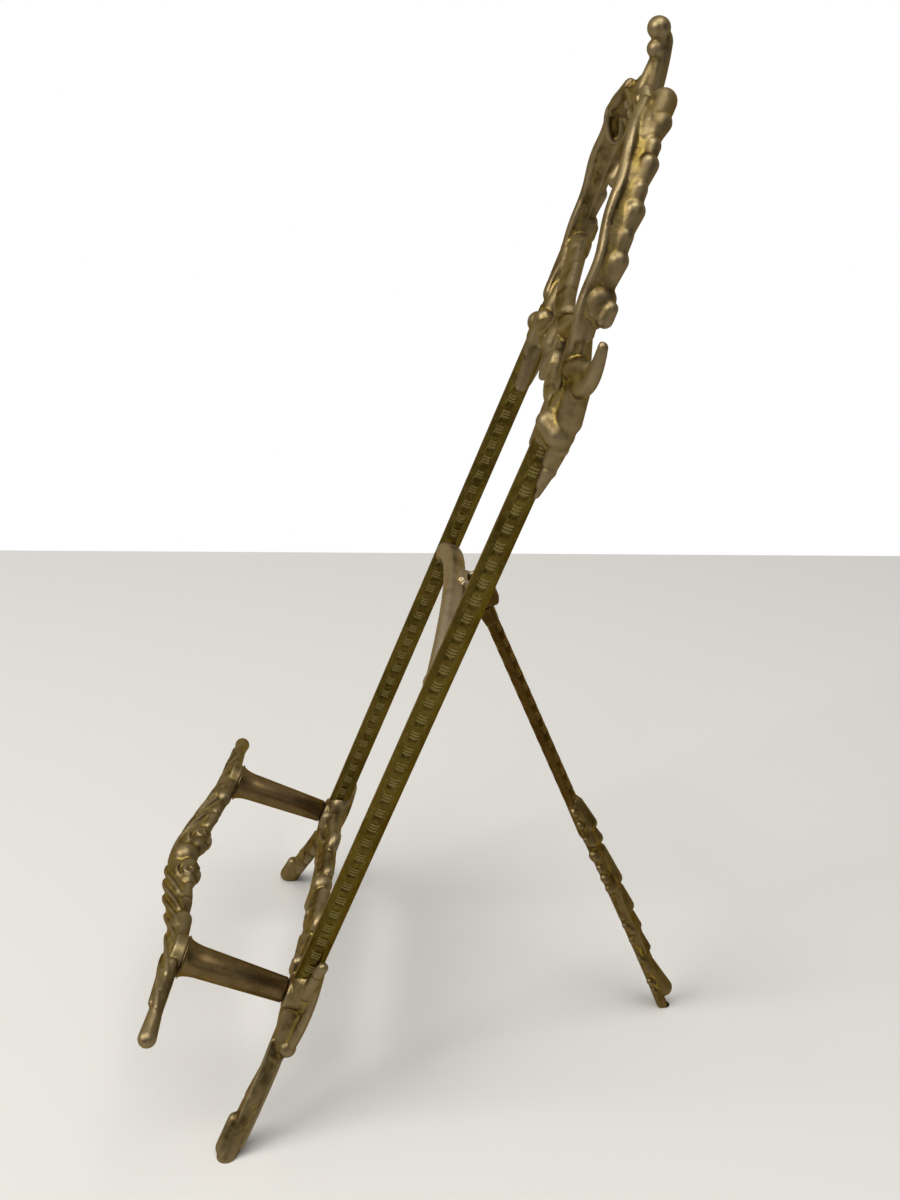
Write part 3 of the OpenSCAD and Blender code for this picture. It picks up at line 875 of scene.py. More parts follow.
@dataclass(frozen=True)
class DashBand:
    """Groups of three short grooves across a bar, at an even pitch along it.

    Attributes:
        pitch: Distance between groups.
        step: Distance between the grooves of one group.
        half: Half the width of a groove's floor.
        wall: Width of a groove's sloping wall.
        reach: Half the length of a groove, across the bar.
        middle: How far the grooves' middle lies off the bar's middle.
        depth: Depth of the grooves.
    """

    pitch: float = 5.0
    step: float = 0.86
    half: float = 0.17
    wall: float = 0.17
    reach: float = 1.05
    middle: float = 0.35
    depth: float = 0.24

    def grooves(self, first: float, last: float) -> Points:
        """Middles of all the grooves from the first group to the last."""
        groups = np.arange(first, last - 0.01, -self.pitch)
        return (groups[:, None] + np.array([self.step, 0.0, -self.step])).ravel()

    def rows(self, grooves: Points) -> Points:
        """Heights of the mesh rows that the grooves need.

        Args:
            grooves: Middles of the grooves.

        Returns:
            The heights in rising order: the middle, floor edges and wall edges of each groove.
        """
        edge = self.half + self.wall
        offsets = np.array([-edge, -self.half, 0.0, self.half, edge])
        return np.unique(np.round((grooves[:, None] + offsets).ravel(), 4))

    def cut(self, height: Points, side: Points, grooves: Points) -> Points:
        """Share of the full depth at each point.

        Args:
            height: Height of each row.
            side: Place of each column across the bar.
            grooves: Middles of the grooves.

        Returns:
            A grid of shares, one row per height and one column per side.
        """
        away = np.abs(height[:, None] - grooves[None, :]).min(axis=1)
        along = smooth_step((self.half + self.wall - away) / self.wall)
        across = smooth_step((self.reach + self.wall - np.abs(side - self.middle)) / self.wall)
        return along[:, None] * across[None, :]


@dataclass(frozen=True)
class EngravedBar:
    """A rolled bar with dashes on two opposite faces.

    Attributes:
        half_x: Half size across.
        half_front: Half size front to back.
        corner: Share of each half size that the bevelled corners take.
        dashes: The dashes.
        on_sides: True where the dashes are on the faces across, False where they face front and back.
        start: Share of the half size at which the dashes begin.
        fade: Share of the half size over which they reach their depth.
        edge: Width of the bevel at each end.
        oval: Size of the oval that rounds the edges, as a share of the half sizes.
        rounding: How far the edges are drawn towards that oval.
        sides: Points around the bar.
    """

    half_x: float
    half_front: float
    corner: float
    dashes: DashBand
    on_sides: bool
    start: float = 0.72
    fade: float = 0.2
    edge: float = 0.35
    oval: float = 1.03
    rounding: float = 0.3
    sides: int = 56

    def outline(self) -> Points:
        """Points around the section: a bevelled bar with softly rounded edges.

        Returns:
            The points as [across, front]. Each lies where its ray leaves the bevelled outline, drawn a
            little towards the oval of the same size.
        """
        angle = np.linspace(0.0, 2 * pi, self.sides, endpoint=False) + pi / self.sides
        x = self.half_x * np.cos(angle)
        y = self.half_front * np.sin(angle)
        flat = 1.0 / np.maximum(np.abs(np.cos(angle)), np.abs(np.sin(angle)))
        bevel = (2.0 - self.corner) / (np.abs(np.cos(angle)) + np.abs(np.sin(angle)))
        reach = np.minimum(flat, bevel)
        oval = np.minimum(reach, self.oval)
        soft = (1.0 - self.rounding) * reach + self.rounding * oval
        return np.stack([x * soft, y * soft], axis=1)

    def shell(self, top: float, foot: float, first: float, last: float) -> tuple[Shell, Points]:
        """The bar between two heights, with dashes from the first to the last group.

        Args:
            top: Height of the upper end.
            foot: Height of the lower end.
            first: Height of the first group of dashes.
            last: Height of the last group of dashes.

        Returns:
            The shell, and how deep each of its points lies as a share of the dashes' depth.
        """
        grooves = self.dashes.grooves(first, last)
        ends = np.array([foot, foot, foot + self.edge, top - self.edge, top, top])
        height = np.sort(np.concatenate([self.dashes.rows(grooves), ends]))
        scale = np.ones(len(height))
        scale[[0, -1]] = 0.0
        scale[[1, -2]] = 1.0 - self.edge / self.half_x
        outline = self.outline()
        face, side = (0, 1) if self.on_sides else (1, 0)
        off = np.abs(outline[:, face])
        wall = smooth_step((off / off.max() - self.start) / self.fade)
        cut = self.dashes.cut(height, outline[:, side], grooves) * wall
        section = outline[None] * scale[:, None, None]
        section[:, :, face] -= np.sign(outline[:, face]) * self.dashes.depth * cut
        level = np.repeat(height[:, None], self.sides, 1)
        rings = np.stack([section[:, :, 0], level, section[:, :, 1]], axis=-1)
        return Shell(rings.reshape(-1, 3), ring_faces(len(height), self.sides)[:, ::-1]), cut.ravel()


def turned(profile: Points, sides: int = 64) -> Shell:
    """Turns a profile about the front direction.

    Args:
        profile: Rows of [radius, front], starting and ending at radius 0.
        sides: Points around the axis.

    Returns:
        The shell of [r cos a, r sin a, front].
    """
    angle = np.linspace(0.0, 2 * pi, sides, endpoint=False)
    rings = np.stack(
        [
            profile[:, :1] * np.cos(angle),
            profile[:, :1] * np.sin(angle),
            np.repeat(profile[:, 1:], sides, axis=1),
        ],
        axis=-1,
    )
    return Shell(rings.reshape(-1, 3), ring_faces(len(profile), sides))


@dataclass(frozen=True)
class Rods:
    """The two engraved rods that lean back.

    Attributes:
        layout: The stand's dimensions.
        first: Height of the first group of dashes.
        last: Height of the last group of dashes.
    """

    layout: Layout
    first: float = 215.6
    last: float = 50.6

    def build(self, plane: Plane) -> None:
        """Makes both rods and dresses them.

        Args:
            plane: Plane of the leaning frame.
        """
        half = self.layout.rod_half
        bar = EngravedBar(half, half, corner=0.55, dashes=DashBand(), on_sides=True)
        shell, cut = bar.shell(self.layout.rod_top, self.layout.rod_foot, self.first, self.last)
        for name, side in (("left_rod", -1), ("right_rod", 1)):
            mesh = closed_mesh(name, plane, shell, point(side * self.layout.rod_x, 0, 0), cut)
            Piece(f"engraved_{name}", Body.FRAME, Slot.ENGRAVED, ROLLED, (name,)).dress(mesh)


@dataclass(frozen=True)
class Crest:
    """The openwork crest with a leaf sleeve over each rod.

    Attributes:
        layout: The stand's dimensions.
        depth: Half depth of the scrolls.
        turn: How far the right arm stands in front of the middle plane, and the left one behind it.
        settled: Share of the crest's rise over which the turn grows.
    """

    layout: Layout
    depth: float = 2.4
    turn: float = 1.2
    settled: float = 0.28

    def at(self, out: float, up: float, front: float = 0.0) -> Points:
        """A point by its share of the rods' distance and of the crest's rise."""
        return point(out * self.layout.rod_x, self.layout.rod_top + up * self.layout.rise, front)

    def curve(self, *corners: Points, steps: int = 72) -> Points:
        """A cubic curve that curls forward with the crest."""
        return self.layout.curled(bezier(*corners, steps=steps))

    def on(self, out: float, up: float, front: float = 0.0) -> Points:
        """A point on the crest's curled face."""
        return self.layout.curled(self.at(out, up, front))

    def arm(self) -> list[Shell]:
        """The outer scroll of one side.

        Returns:
            A front rim, a channel, overlapping petals that open upwards behind it, and two knuckles.
        """
        at = self.at
        corners = at(1, 0.02, 0.4), at(1.2, 0.3, 2.4), at(1.12, 0.66, 4.4), at(0.55, 0.785, -0.2)
        path = self.curve(*corners, steps=121)
        along, out = sides_of(path)
        shells = [
            scroll(pushed(path, 1.2, 0.2), (2.1, 1.8), (2.1, 3.0)),
            scroll(wavy(pushed(path, 1.9, 3.4), 0.3, 5.3), (2.4, 2.1), (1.1, 1.5)),
            scroll(pushed(path, 0.2, -1.9), (2.4, 2.0), (1.1, 1.1)),
        ]
        petals = {0.44: 2.4, 0.51: 2.0, 0.585: 2.5, 0.655: 2.0, 0.735: 2.5, 0.805: 2.1, 0.9: 2.6}
        for share, radius in petals.items():
            i = int(share * (len(path) - 1))
            root = path[i] + 0.2 * out[i] - 1.2 * FRONT - 4.8 * along[i]
            tip = path[i] + 0.9 * out[i] - 0.65 * radius * FRONT + 0.5 * along[i]
            shells.append(lobe(root, tip, 1.8, radius))
        leaf = path[-20] + 0.4 * out[-20] - 0.6 * FRONT
        shells.append(lobe(leaf, path[-1] + point(0, 1.4, -0.8), 2.6, 3.0))
        for share, front, radius in ((0.31, -0.9, 2.9), (0.225, 0.6, 2.4)):
            i = int(share * (len(path) - 1))
            knuckle = path[i] + 0.5 * out[i] + front * FRONT
            shells.append(lobe(knuckle - 1.2 * along[i], knuckle + 1.2 * along[i], radius, radius, flat=1.15))
        return shells

    def sleeve(self) -> list[Shell]:
        """The leaf sleeve that holds one rod's top.

        Returns:
            Its body, the tail behind it, and the roll and tongues in front.
        """
        at = self.at
        body = bezier(at(1, -0.16), at(1, -0.1), at(1, 0, -0.4), at(1.02, 0.12, -0.8))
        tail = bezier(at(1.03, -0.3, -2.5), at(1.06, -0.2, -3.5), at(1.1, -0.1, -3.6), at(1.12, 0.02, -2.0))
        leaves = lobes(
            at,
            (1.1, -0.04, -2.0, 1.14, 0.08, -0.8, 3.2, 2.8),
            (1.09, -0.085, -1.2, 1.06, -0.07, 1.5, 3.8, 3.2),
            (1.05, -0.25, -2.2, 1.07, -0.2, -2.8, 1.1, 1.9),
            (1.07, -0.175, -2.0, 1.1, -0.12, -2.4, 1.7, 2.5),
            (0.93, -0.29, -0.4, 0.92, -0.14, 0.4, 1.8, 2.4),
            (0.92, -0.16, 1.2, 0.9, -0.03, 1.2, 2.0, 2.5),
        )
        return [scroll(body, (4.4, 4.0), (3.8, 2.9)), scroll(tail, (1.0, 3.0), (0.9, 2.2)), *leaves]

    def hook(self) -> list[Shell]:
        """The leaf hook beside the sleeve.

        Returns:
            The hook, its root and neck, and the grooved knuckle over it.
        """
        at = self.at
        path = bezier(at(1.0, 0.09, 0.2), at(1.16, 0.06, -0.2), at(1.34, 0.08, -3.0), at(1.38, 0.235, -1.4))
        knuckle = at(1.12, 0.275, 1.4)
        return [
            scroll(path, (4.0, 1.0), (3.0, 1.1), bulge=0.4),
            lobe(at(1.1, 0.1, 0.4), at(1.27, 0.135, -1.4), 3.4, 2.0),
            lobe(at(1.04, 0.1, 0.2), at(1.06, 0.2, 2.1), 3.0, 2.5),
            bead(knuckle, 2.5),
            lobe(knuckle + point(1.4, -1.0, -2.4), knuckle + point(1.8, 1.6, -2.6), 2.0, 1.7),
        ]

    def top(self) -> list[Shell]:
        """The scroll from one arm's top to the middle.

        Returns:
            The scroll with its rim and lobes, and the hollow eye beside the arm. The eye's rim is an oval
            that leans forward: its height is h sin(a), and its front is w cos(a) + 0.4 h sin(a).
        """
        at = self.at
        path = self.curve(at(0.84, 0.68, 2.4), at(0.6, 0.86, 1.2), at(0.3, 0.68, 0.8), at(-0.08, 0.78, 0.6))
        angle = np.radians(np.linspace(100, -268, 72))
        high = 4.2 * np.sin(angle)
        eye = self.on(0.82, 0.65, 3.8)
        rim = eye + np.stack([0 * angle, high, 2.0 * np.cos(angle) + 0.4 * high], axis=1)
        cup = np.linspace(-3.6, 3.6, 16)[:, None] * (UP + 0.4 * FRONT) + eye + 1.1 * ACROSS
        return [
            scroll(path, (2.4, 2.2), (2.1, 2.1)),
            scroll(path + 1.6 * FRONT, (1.0, 1.0), (1.2, 1.1)),
            scroll(rim, (0.95, 0.9), (1.5, 1.5), facing=ACROSS),
            scroll(cup, (2.3, 2.3), (0.9, 0.9), facing=ACROSS),
            lobe(self.on(0.26, 0.76, 0.6), self.on(0.16, 0.8, 1.4), 2.0, 1.7),
            *[lobe(path[i], path[i] - 2.6 * UP + 0.6 * FRONT, 1.7, 1.4) for i in (30, 48)],
        ]

    def cross(self) -> list[Shell]:
        """The two scrolls of one side that cross the crest's foot.

        Returns:
            The scrolls with their rims, curl and leaf lobes.
        """
        d = self.depth
        at = self.at
        upper = bezier(at(1.08, 0.24, 0.8), at(0.7, 0.24, 1.0), at(0.36, 0.02, 0.8), at(-0.08, 0.12, 0.6))
        lower = bezier(at(0.93, -0.02, 0), at(0.74, -0.09, 0.4), at(0.4, -0.07, 0.4), at(0.12, 0.1, 0.4))
        drop = point(-0.8, 2.6, -0.3)
        return [
            scroll(upper, (2.6, 2.3), (d, d)),
            scroll(upper + 1.8 * FRONT - 0.8 * UP, (0.9, 0.9), (1.2, 1.1)),
            lobe(upper[13] + 0.4 * UP, upper[6] + 0.6 * UP, 2.9, 3.2),
            scroll(lower, (2.3, 1.8), (d - 0.2, d - 0.4)),
            scroll(lower + 1.7 * FRONT, (0.8, 0.7), (1.0, 0.9)),
            scroll(volute(at(0.3, 0.005, 0.6), (4.4, 1.2), (150, 470)), (1.5, 1.3), (d - 0.4, d)),
            *[lobe(upper[i] + 0.6 * UP, upper[i - 14] + 2.2 * UP, 2.0, 1.7) for i in (24, 42, 60)],
            *[lobe(lower[i] - 0.6 * UP, lower[i] - drop, 1.5, 1.2) for i in (18, 32, 46)],
        ]

    def middle(self) -> list[Shell]:
        """The leaf pendants and the forward-rolled finial on the middle line.

        Returns:
            The stem, and the lobes on it and under it.
        """
        at = self.at
        stem = self.curve(at(0, 0.62, 0.4), at(0.001, 0.72, 0.2), at(0, 0.86, -1.4), at(0, 0.975, -0.8))
        rolls = lobes(
            self.on,
            (0.001, 0.66, 0.9, 0, 0.6, 1.4, 1.7, 1.8),
            (0.001, 0.57, 1.8, 0, 0.54, 2.2, 1.9, 2.4),
            (-0.03, 0.965, 0.7, 0.03, 0.965, 0.7, 2.7, 2.7),
            (-0.03, 0.912, 0.5, 0.03, 0.912, 0.5, 2.2, 2.2),
            (0.001, 0.88, 0.0, 0, 0.8, 1.2, 1.8, 2.3),
        )
        pendants = lobes(at, (0, 0.11, 0.6, 0, 0.01, 1, 3.0, 3.2), (0, 0.01, 1, 0, -0.1, 0.6, 3.0, 1.2))
        return [*pendants, scroll(stem, (2.6, 2.6), (2.5, 2.3), bulge=0.4), *rolls]

    def twisted(self, shell: Shell) -> Shell:
        """Turns a shell a little over the rods.

        Args:
            shell: The shell as it is drawn.

        Returns:
            The shell, moved forward by turn x / rod_x, which grows from the rods' top up to the knuckles.
        """
        share = smooth_step((shell.points[:, 1] - self.layout.rod_top) / (self.settled * self.layout.rise))
        shift = self.turn * share * shell.points[:, 0] / self.layout.rod_x
        return Shell(shell.points + shift[:, None] * FRONT, shell.faces)

    def build(self, plane: Plane) -> None:
        """Casts the crest and dresses it.

        Args:
            plane: Plane of the leaning frame.
        """
        side = self.arm() + self.sleeve() + self.hook() + self.top() + self.cross()
        shells = [self.twisted(shell) for shell in both_sides(side) + self.middle()]
        mesh = Casting(voxel=0.39, soft=3).mesh("crest", shells, plane)
        Piece("scroll_crest", Body.FRAME, Slot.CAST, CASTING, ("crest",)).dress(mesh)


@dataclass(frozen=True)
class Crossbar:
    """The arched bar between the rods, with the hinge ears behind it.

    Attributes:
        layout: The stand's dimensions.
        half: Half size of the bar.
        rise: Rise of the arch.
        ear: Radius of the ears.
        ear_x: Distance of the ears' middle from the stand's middle.
        ear_half: Half thickness of an ear.
    """

    layout: Layout
    half: float = 2.8
    rise: float = 9.0
    ear: float = 3.3
    ear_x: float = 3.2
    ear_half: float = 1.0

    def build(self, plane: Plane) -> None:
        """Casts the crossbar and dresses it.

        Args:
            plane: Plane of the leaning frame.
        """
        end = self.layout.rod_x - self.layout.rod_half + 0.6
        radius = (end**2 + self.rise**2) / (2 * self.rise)
        x = np.linspace(-end, end, 160)
        arch = self.layout.bar_up - radius + np.sqrt(radius**2 - x**2)
        path = np.stack([x, arch, 0 * x], axis=1)
        foot = self.layout.bar_up - self.rise
        pin = point(0, self.layout.pin_up, -self.layout.pin_back)
        ear_way = np.linspace(-self.ear_half, self.ear_half, 12)[:, None] * ACROSS + self.ear_x * ACROSS
        web = np.linspace(0, 1, 12)[:, None] * point(0, 0, self.layout.pin_back - 1) + self.ear_x * ACROSS
        pad = np.linspace(-self.ear_x, self.ear_x, 12)[:, None] * ACROSS
        thick = self.ear_half, self.ear_half
        side = [
            lobe(point(end - 4.5, foot + 1.2, 0), point(end - 0.4, foot, 0), 2.6, 3.7, flat=0.9),
            scroll(pin + ear_way, (self.ear, self.ear), (self.ear, self.ear), ends=0.5, sides=32),
            scroll(pin + web - 0.7 * UP, thick, (2.6, 2.6), facing=UP, square=5, ends=0.4),
        ]
        middle = [
            scroll(path, (self.half, self.half), (self.half, self.half), square=3.2, ends=0.6, sides=28),
            scroll(pad + point(0, self.layout.bar_up + 2, -1.5), (1.8, 1.8), (1.3, 1.3), square=5, ends=0.4),
        ]
        mesh = Casting(voxel=0.28, soft=3).mesh("crossbar", both_sides(side) + middle, plane)
        Piece("arched_crossbar", Body.FRAME, Slot.CAST, WORN, ("crossbar",)).dress(mesh)


@dataclass(frozen=True)
class Corner:
    """One corner casting, which holds a rod and splays out into a scroll foot.

    Attributes:
        layout: The stand's dimensions.
        splay: How far the foot splays out.
        forward: How far the foot's tip curls forward.
        half_width: Half width of the foot.
        half_depth: Half depth of the foot.
    """

    layout: Layout
    splay: float = 20.0
    forward: float = 2.8
    half_width: float = 2.9
    half_depth: float = 2.4

    def near(self, out: float, up: float, front: float) -> Points:
        """A point by its distance out from the rod and up from the post's axis."""
        return point(self.layout.rod_x + out, self.layout.corner + up, front)

    def foot(self) -> list[Shell]:
        """The splayed foot.

        Returns:
            A strap of overlapping leaves with raised edges, which ends in a broad toe.
        """
        x = self.layout.rod_x
        high = self.layout.corner
        path = bezier(
            self.near(0, -2, 0),
            point(x + 0.15 * self.splay, 0.62 * high, 0),
            point(x + 0.7 * self.splay, 0.4 * high, 0.2 * self.forward),
            point(x + self.splay, -0.08 * high, self.forward),
            steps=97,
        )
        along, out = sides_of(path)
        wide, deep = self.half_width, self.half_depth
        shells = [
            scroll(path, (wide, wide - 1.2), (deep - 0.3, deep)),
            lobe(path[16] - 0.6 * FRONT, path[36] - 0.4 * out[36], 3.0, 2.5),
            lobe(path[42] - 0.3 * out[42], path[62] - 0.3 * out[62] + 0.6 * FRONT, 2.2, 2.7),
            lobe(path[66] + 0.8 * FRONT, path[96] + point(0, 2.2, 0.2), 2.4, 2.8),
            lobe(path[76] + 2.8 * FRONT, path[90] + 2.0 * FRONT, 2.0, 2.5),
        ]
        for side in (-1, 1):
            edge = path - (wide - 1.0) * out + side * (deep - 0.6) * FRONT
            shells.append(scroll(edge[26:88], (0.8, 0.7), (0.9, 0.8)))
        for i in (34, 52, 70):
            shells.append(lobe(path[i] + 1.0 * out[i], path[i] + 2.6 * out[i] + 2.4 * along[i], 2.0, 1.5))
        return shells

    def leaf(self) -> list[Shell]:
        """The leaf round the rod's end.

        Returns:
            The leaf, the collar of the post, the strap behind and the stub towards the apron.
        """
        near = self.near
        body = bezier(near(0, -4, 0), near(0, 2, 0), near(0, 5, -0.4), near(0, 10, -0.8))
        collar = np.linspace(-3, 4, 20)[:, None] * FRONT + near(0, 0, 0)
        strap = bezier(near(1.2, 14, -2.6), near(2.6, 2, -4.2), near(5, -5, -4.2), near(6.4, -14.6, -2.4))
        return [
            scroll(body, (4.8, 4.3), (4.0, 3.5)),
            scroll(collar, (4.8, 4.8), (4.8, 4.8), facing=UP, ends=0.6, sides=32),
            scroll(strap, (2.6, 2.5), (1.3, 1.8)),
            bead(near(6.4, -13.6, -2.2), 2.7),
            *lobes(
                near,
                (4.4, 12.8, -2.0, 5.2, 16, -2.4, 1.7, 1.5),
                (3, 4, -1.6, 4.2, 10.6, -2.0, 2.4, 1.5),
                (2, -5, 0, 5.2, -13, -0.4, 3.4, 2.5),
                (-2, -2, 0, -8.5, 1, 0, 3.5, 3.1),
                (-8, 1, 2.0, -8, 4, 2.4, 2.2, 2.0),
            ),
        ]

    def build(self, plane: Plane) -> None:
        """Casts both corners and dresses them.

        Args:
            plane: Plane of the leaning frame.
        """
        shells = self.foot() + self.leaf()
        mirrored = [shell.mirrored() for shell in shells]
        for name, side in (("right_foot", shells), ("left_foot", mirrored)):
            mesh = Casting(voxel=0.34).mesh(name, side, plane)
            Piece(f"scroll_{name}", Body.FRAME, Slot.CAST, CASTING, (name,)).dress(mesh)


@dataclass(frozen=True)
class Apron:
    """The scroll strip between the corners.

    Attributes:
        height: Height of its middle.
        end: Distance of its ends from the middle.
    """

    height: float = 45.0
    end: float = 38.5

    def at(self, share: float, up: float, front: float) -> Points:
        """A point by its share of the way to the end and its height over the middle line."""
        return point(self.end * share, self.height + up, front)

    def half(self) -> list[Shell]:
        """One half of the strip.

        Returns:
            The strip with its rims, end scroll and leaf lobes.
        """
        at = self.at
        path = bezier(at(1, -0.6, 0) + 3 * ACROSS, at(0.75, -4, 0), at(0.4, 5, -0.4), at(0, 0, -0.4))
        return [
            scroll(path, (3.2, 3.8), (2.2, 2.2)),
            scroll(path + 1.8 * FRONT - 1.2 * UP, (0.9, 0.9), (1.0, 1.0)),
            scroll(path - 1.6 * FRONT + 1.4 * UP, (0.9, 0.9), (1.0, 1.0)),
            scroll(volute(at(0.54, 4.4, -0.6), (4.2, 1.0), (250, -80)), (1.6, 1.4), (1.8, 2.0)),
            bead(at(0.54, 4.8, -0.6), 2.3),
            *lobes(
                at,
                (0.94, 1.4, -0.4, 0.68, 2.8, -1.0, 2.7, 2.0),
                (0.36, 2.2, -0.6, 0.14, 4.2, -1.0, 2.5, 1.9),
                (0.92, -2.6, 0.4, 0.5, -3.2, 0.4, 2.8, 2.4),
                (0.38, -1.6, 0.4, 0.18, -4.4, 0.5, 2.2, 1.7),
                (0.8, -1.4, 2.2, 0.6, 1.6, 1.6, 1.2, 0.9),
                (0.3, 0.6, 1.8, 0.12, 2.4, 1.4, 1.2, 0.9),
            ),
        ]

    def build(self, plane: Plane) -> None:
        """Casts the apron and dresses it.

        Args:
            plane: Plane of the leaning frame.
        """
        drop = lobes(self.at, (0, 3, 0, 0, -6, 0.4, 3.2, 2.2))
        mesh = Casting(voxel=0.34).mesh("apron", both_sides(self.half()) + drop, plane)
        Piece("scroll_apron", Body.FRAME, Slot.CAST, CASTING, ("apron",)).dress(mesh)


@dataclass(frozen=True)
class BookRail:
    """The scroll ledge that keeps a book on the stand.

    Attributes:
        layout: The stand's dimensions.
        front: Distance of its middle line in front of the frame.
        bow: How far its middle bows forward.
        low: Height of its middle line at the stand's middle.
        seat: Height of its middle line at the posts.
        tip: Distance of its tips from the stand's middle.
        fall: How far its tips fall below the posts.
        back: How far its tips lie behind the posts' ends.
    """

    layout: Layout
    front: float = 36.4
    bow: float = 5.6
    low: float = 39.0
    seat: float = 43.8
    tip: float = 75.0
    fall: float = 4.4
    back: float = 0.6

    def path(self) -> Points:
        """Middle line of one half, from the stand's middle to the tip.

        Returns:
            A bowed curve to the post, then an arc that falls with the square of the way to the tip.
        """
        x = self.layout.rod_x
        inner = bezier(
            point(0, self.low, self.front + self.bow),
            point(0.4 * x, self.low, self.front + self.bow),
            point(0.7 * x, self.seat, self.front),
            point(x, self.seat, self.front),
            steps=101,
        )
        t = np.linspace(0, 1, 61)[1:]
        out = x + (self.tip - 1 - x) * t
        outer = np.stack([out, self.seat - self.fall * t * t, self.front - self.back * t], axis=1)
        return np.concatenate([inner, outer])

    def over(self, out: float, up: float, front: float) -> Points:
        """A point by its distance from the stand's middle, from the lowest line and from the front line."""
        return point(out, self.low + up, self.front + front)

    def laid(self, flat: Points, up: float) -> Points:
        """A flat spiral laid on the rail's top, with its upper side to the rear."""
        return self.over(0, up, 3.2) + np.stack([flat[:, 0], 0 * flat[:, 0], -flat[:, 1]], axis=1)

    def leaf_edges(self, path: Points) -> list[Shell]:
        """Edges of the overlapping leaves that wind from the rail's front to its top.

        Args:
            path: Middle line of one half.

        Returns:
            One thin scroll per leaf. It lies on the rail's oval section, at h cos(a) up and d sin(a)
            front, and its angle a turns from under the front to the top as it runs outwards.
        """
        share = np.linspace(0.0, 1.0, len(path))
        high = 4.4 - 2.6 * share
        deep = 4.1 - 2.5 * share
        shells = []
        for first, last in ((0, 44), (14, 64), (32, 82), (54, 102), (78, 124), (100, 146)):
            angle = np.radians(np.linspace(125.0, 5.0, last - first))
            part = slice(first, last)
            up = high[part] * np.cos(angle)
            front = deep[part] * np.sin(angle)
            edge = path[part] + np.stack([0 * up, up, front], axis=1)
            shells.append(scroll(edge, (0.9, 0.8), (0.9, 0.8)))
        return shells

    def half(self) -> list[Shell]:
        """One half of the rail.

        Returns:
            The rail with its leaf edges, rolled eye, knuckles and leaf tip, and the disc on the post.
        """
        path = self.path()
        body = np.concatenate([path[6:0:-1] * np.array([-1.0, 1.0, 1.0]), path])
        eye = self.laid(volute(point(8.5, 0, 0), (3.9, 3.2), (-230, 130)), 3.4)
        mark = self.laid(volute(point(9.4, 0, 0), (1.9, 0.4), (40, -500)), 6.0)
        disc = np.linspace(-3.1, 0.9, 24)[:, None] * FRONT
        disc = disc + point(self.layout.rod_x, self.layout.corner, self.front)

        def on(place: int, up: float, front: float) -> Points:
            """A point over the middle line."""
            return path[place] + point(0, up, front)

        return self.leaf_edges(path) + [
            scroll(body, (4.5, 1.8), (4.2, 1.6)),
            scroll(eye, (0.9, 0.8), (1.9, 1.7), facing=UP),
            scroll(mark, (0.5, 0.45), (0.7, 0.6), facing=UP),
            scroll(disc, (5.8, 5.8), (5.8, 5.8), facing=UP, ends=0.3, sides=40),
            lobe(path[-25], path[-1] - 1.5 * ACROSS, 1.7, 2.5),
            lobe(on(92, 1.2, -0.6), self.over(31, 5.4, 0.4), 2.3, 2.7),
            *lobes(
                on,
                (-43, 0.6, 1.0, -23, 0.4, 1.3, 1.8, 1.4),
                (-45, 1.0, 0.0, -29, 1.4, 0.6, 1.8, 1.3),
                (-45, -1.0, 0.0, -29, -1.6, 0.6, 1.8, 1.3),
                (70, 1.6, 0.4, 78, 1.4, 0.4, 2.3, 2.1),
                (112, 1.6, -0.2, 118, 1.2, -0.2, 1.7, 1.5),
            ),
            *lobes(
                self.over,
                (5.2, 3.2, 3.4, 12, 3.5, 2.6, 3.0, 2.6),
                (26.5, 4.6, 0.8, 23, 4.8, 1.2, 1.8, 2.1),
                (20.5, 4.4, 1.4, 15.6, 4.6, 2.0, 2.0, 1.5),
            ),
        ]

    def build(self, plane: Plane) -> None:
        """Casts the rail and dresses it.

        Args:
            plane: Plane of the leaning frame.
        """
        drop = lobes(self.over, (0, 3, self.bow, 0, -4, self.bow + 0.8, 4.0, 2.6))
        mesh = Casting(voxel=0.34, soft=3).mesh("front_rail", both_sides(self.half()) + drop, plane)
        Piece("scroll_rail", Body.FRAME, Slot.CAST, CASTING, ("front_rail",)).dress(mesh)


@dataclass(frozen=True)
class Posts:
    """The two round posts that carry the rail.

    Attributes:
        layout: The stand's dimensions.
        start: Distance of their seats in front of the frame.
        end: Distance of the rail's back in front of the frame.
        thin: Radius at the frame.
        thick: Radius before the flare.
        flare: Radius of the flare.
        flare_length: Length of the flare.
    """

    layout: Layout
    start: float = 4.0
    end: float = 33.5
    thin: float = 3.6
    thick: float = 4.4
    flare: float = 6.0
    flare_length: float = 6.0

    def profile(self) -> Points:
        """Half section of a post.

        Returns:
            Rows of [radius, front]: a slow taper, then a quarter round that opens into the flare.
        """
        edge = 0.3
        turn = np.linspace(0.0, pi / 2, 20)
        radius = self.flare - (self.flare - self.thick) * np.cos(turn)
        front = self.end - self.flare_length + (self.flare_length - edge) * np.sin(turn)
        foot = np.array([[0.0, self.start], [self.thin - edge, self.start], [self.thin, self.start + edge]])
        close = np.array([[self.flare, self.end], [0.0, self.end]])
        return np.concatenate([foot, np.stack([radius, front], axis=1), close])

    def build(self, plane: Plane) -> None:
        """Turns both posts and dresses them.

        Args:
            plane: Plane of the leaning frame.
        """
        shell = turned(self.profile())
        for name, side in (("left_post", -1), ("right_post", 1)):
            place = point(side * self.layout.rod_x, self.layout.corner, 0)
            mesh = closed_mesh(name, plane, shell, place)
            Piece(f"turned_{name}", Body.FRAME, Slot.TURNED, TURNED, (name,)).dress(mesh)


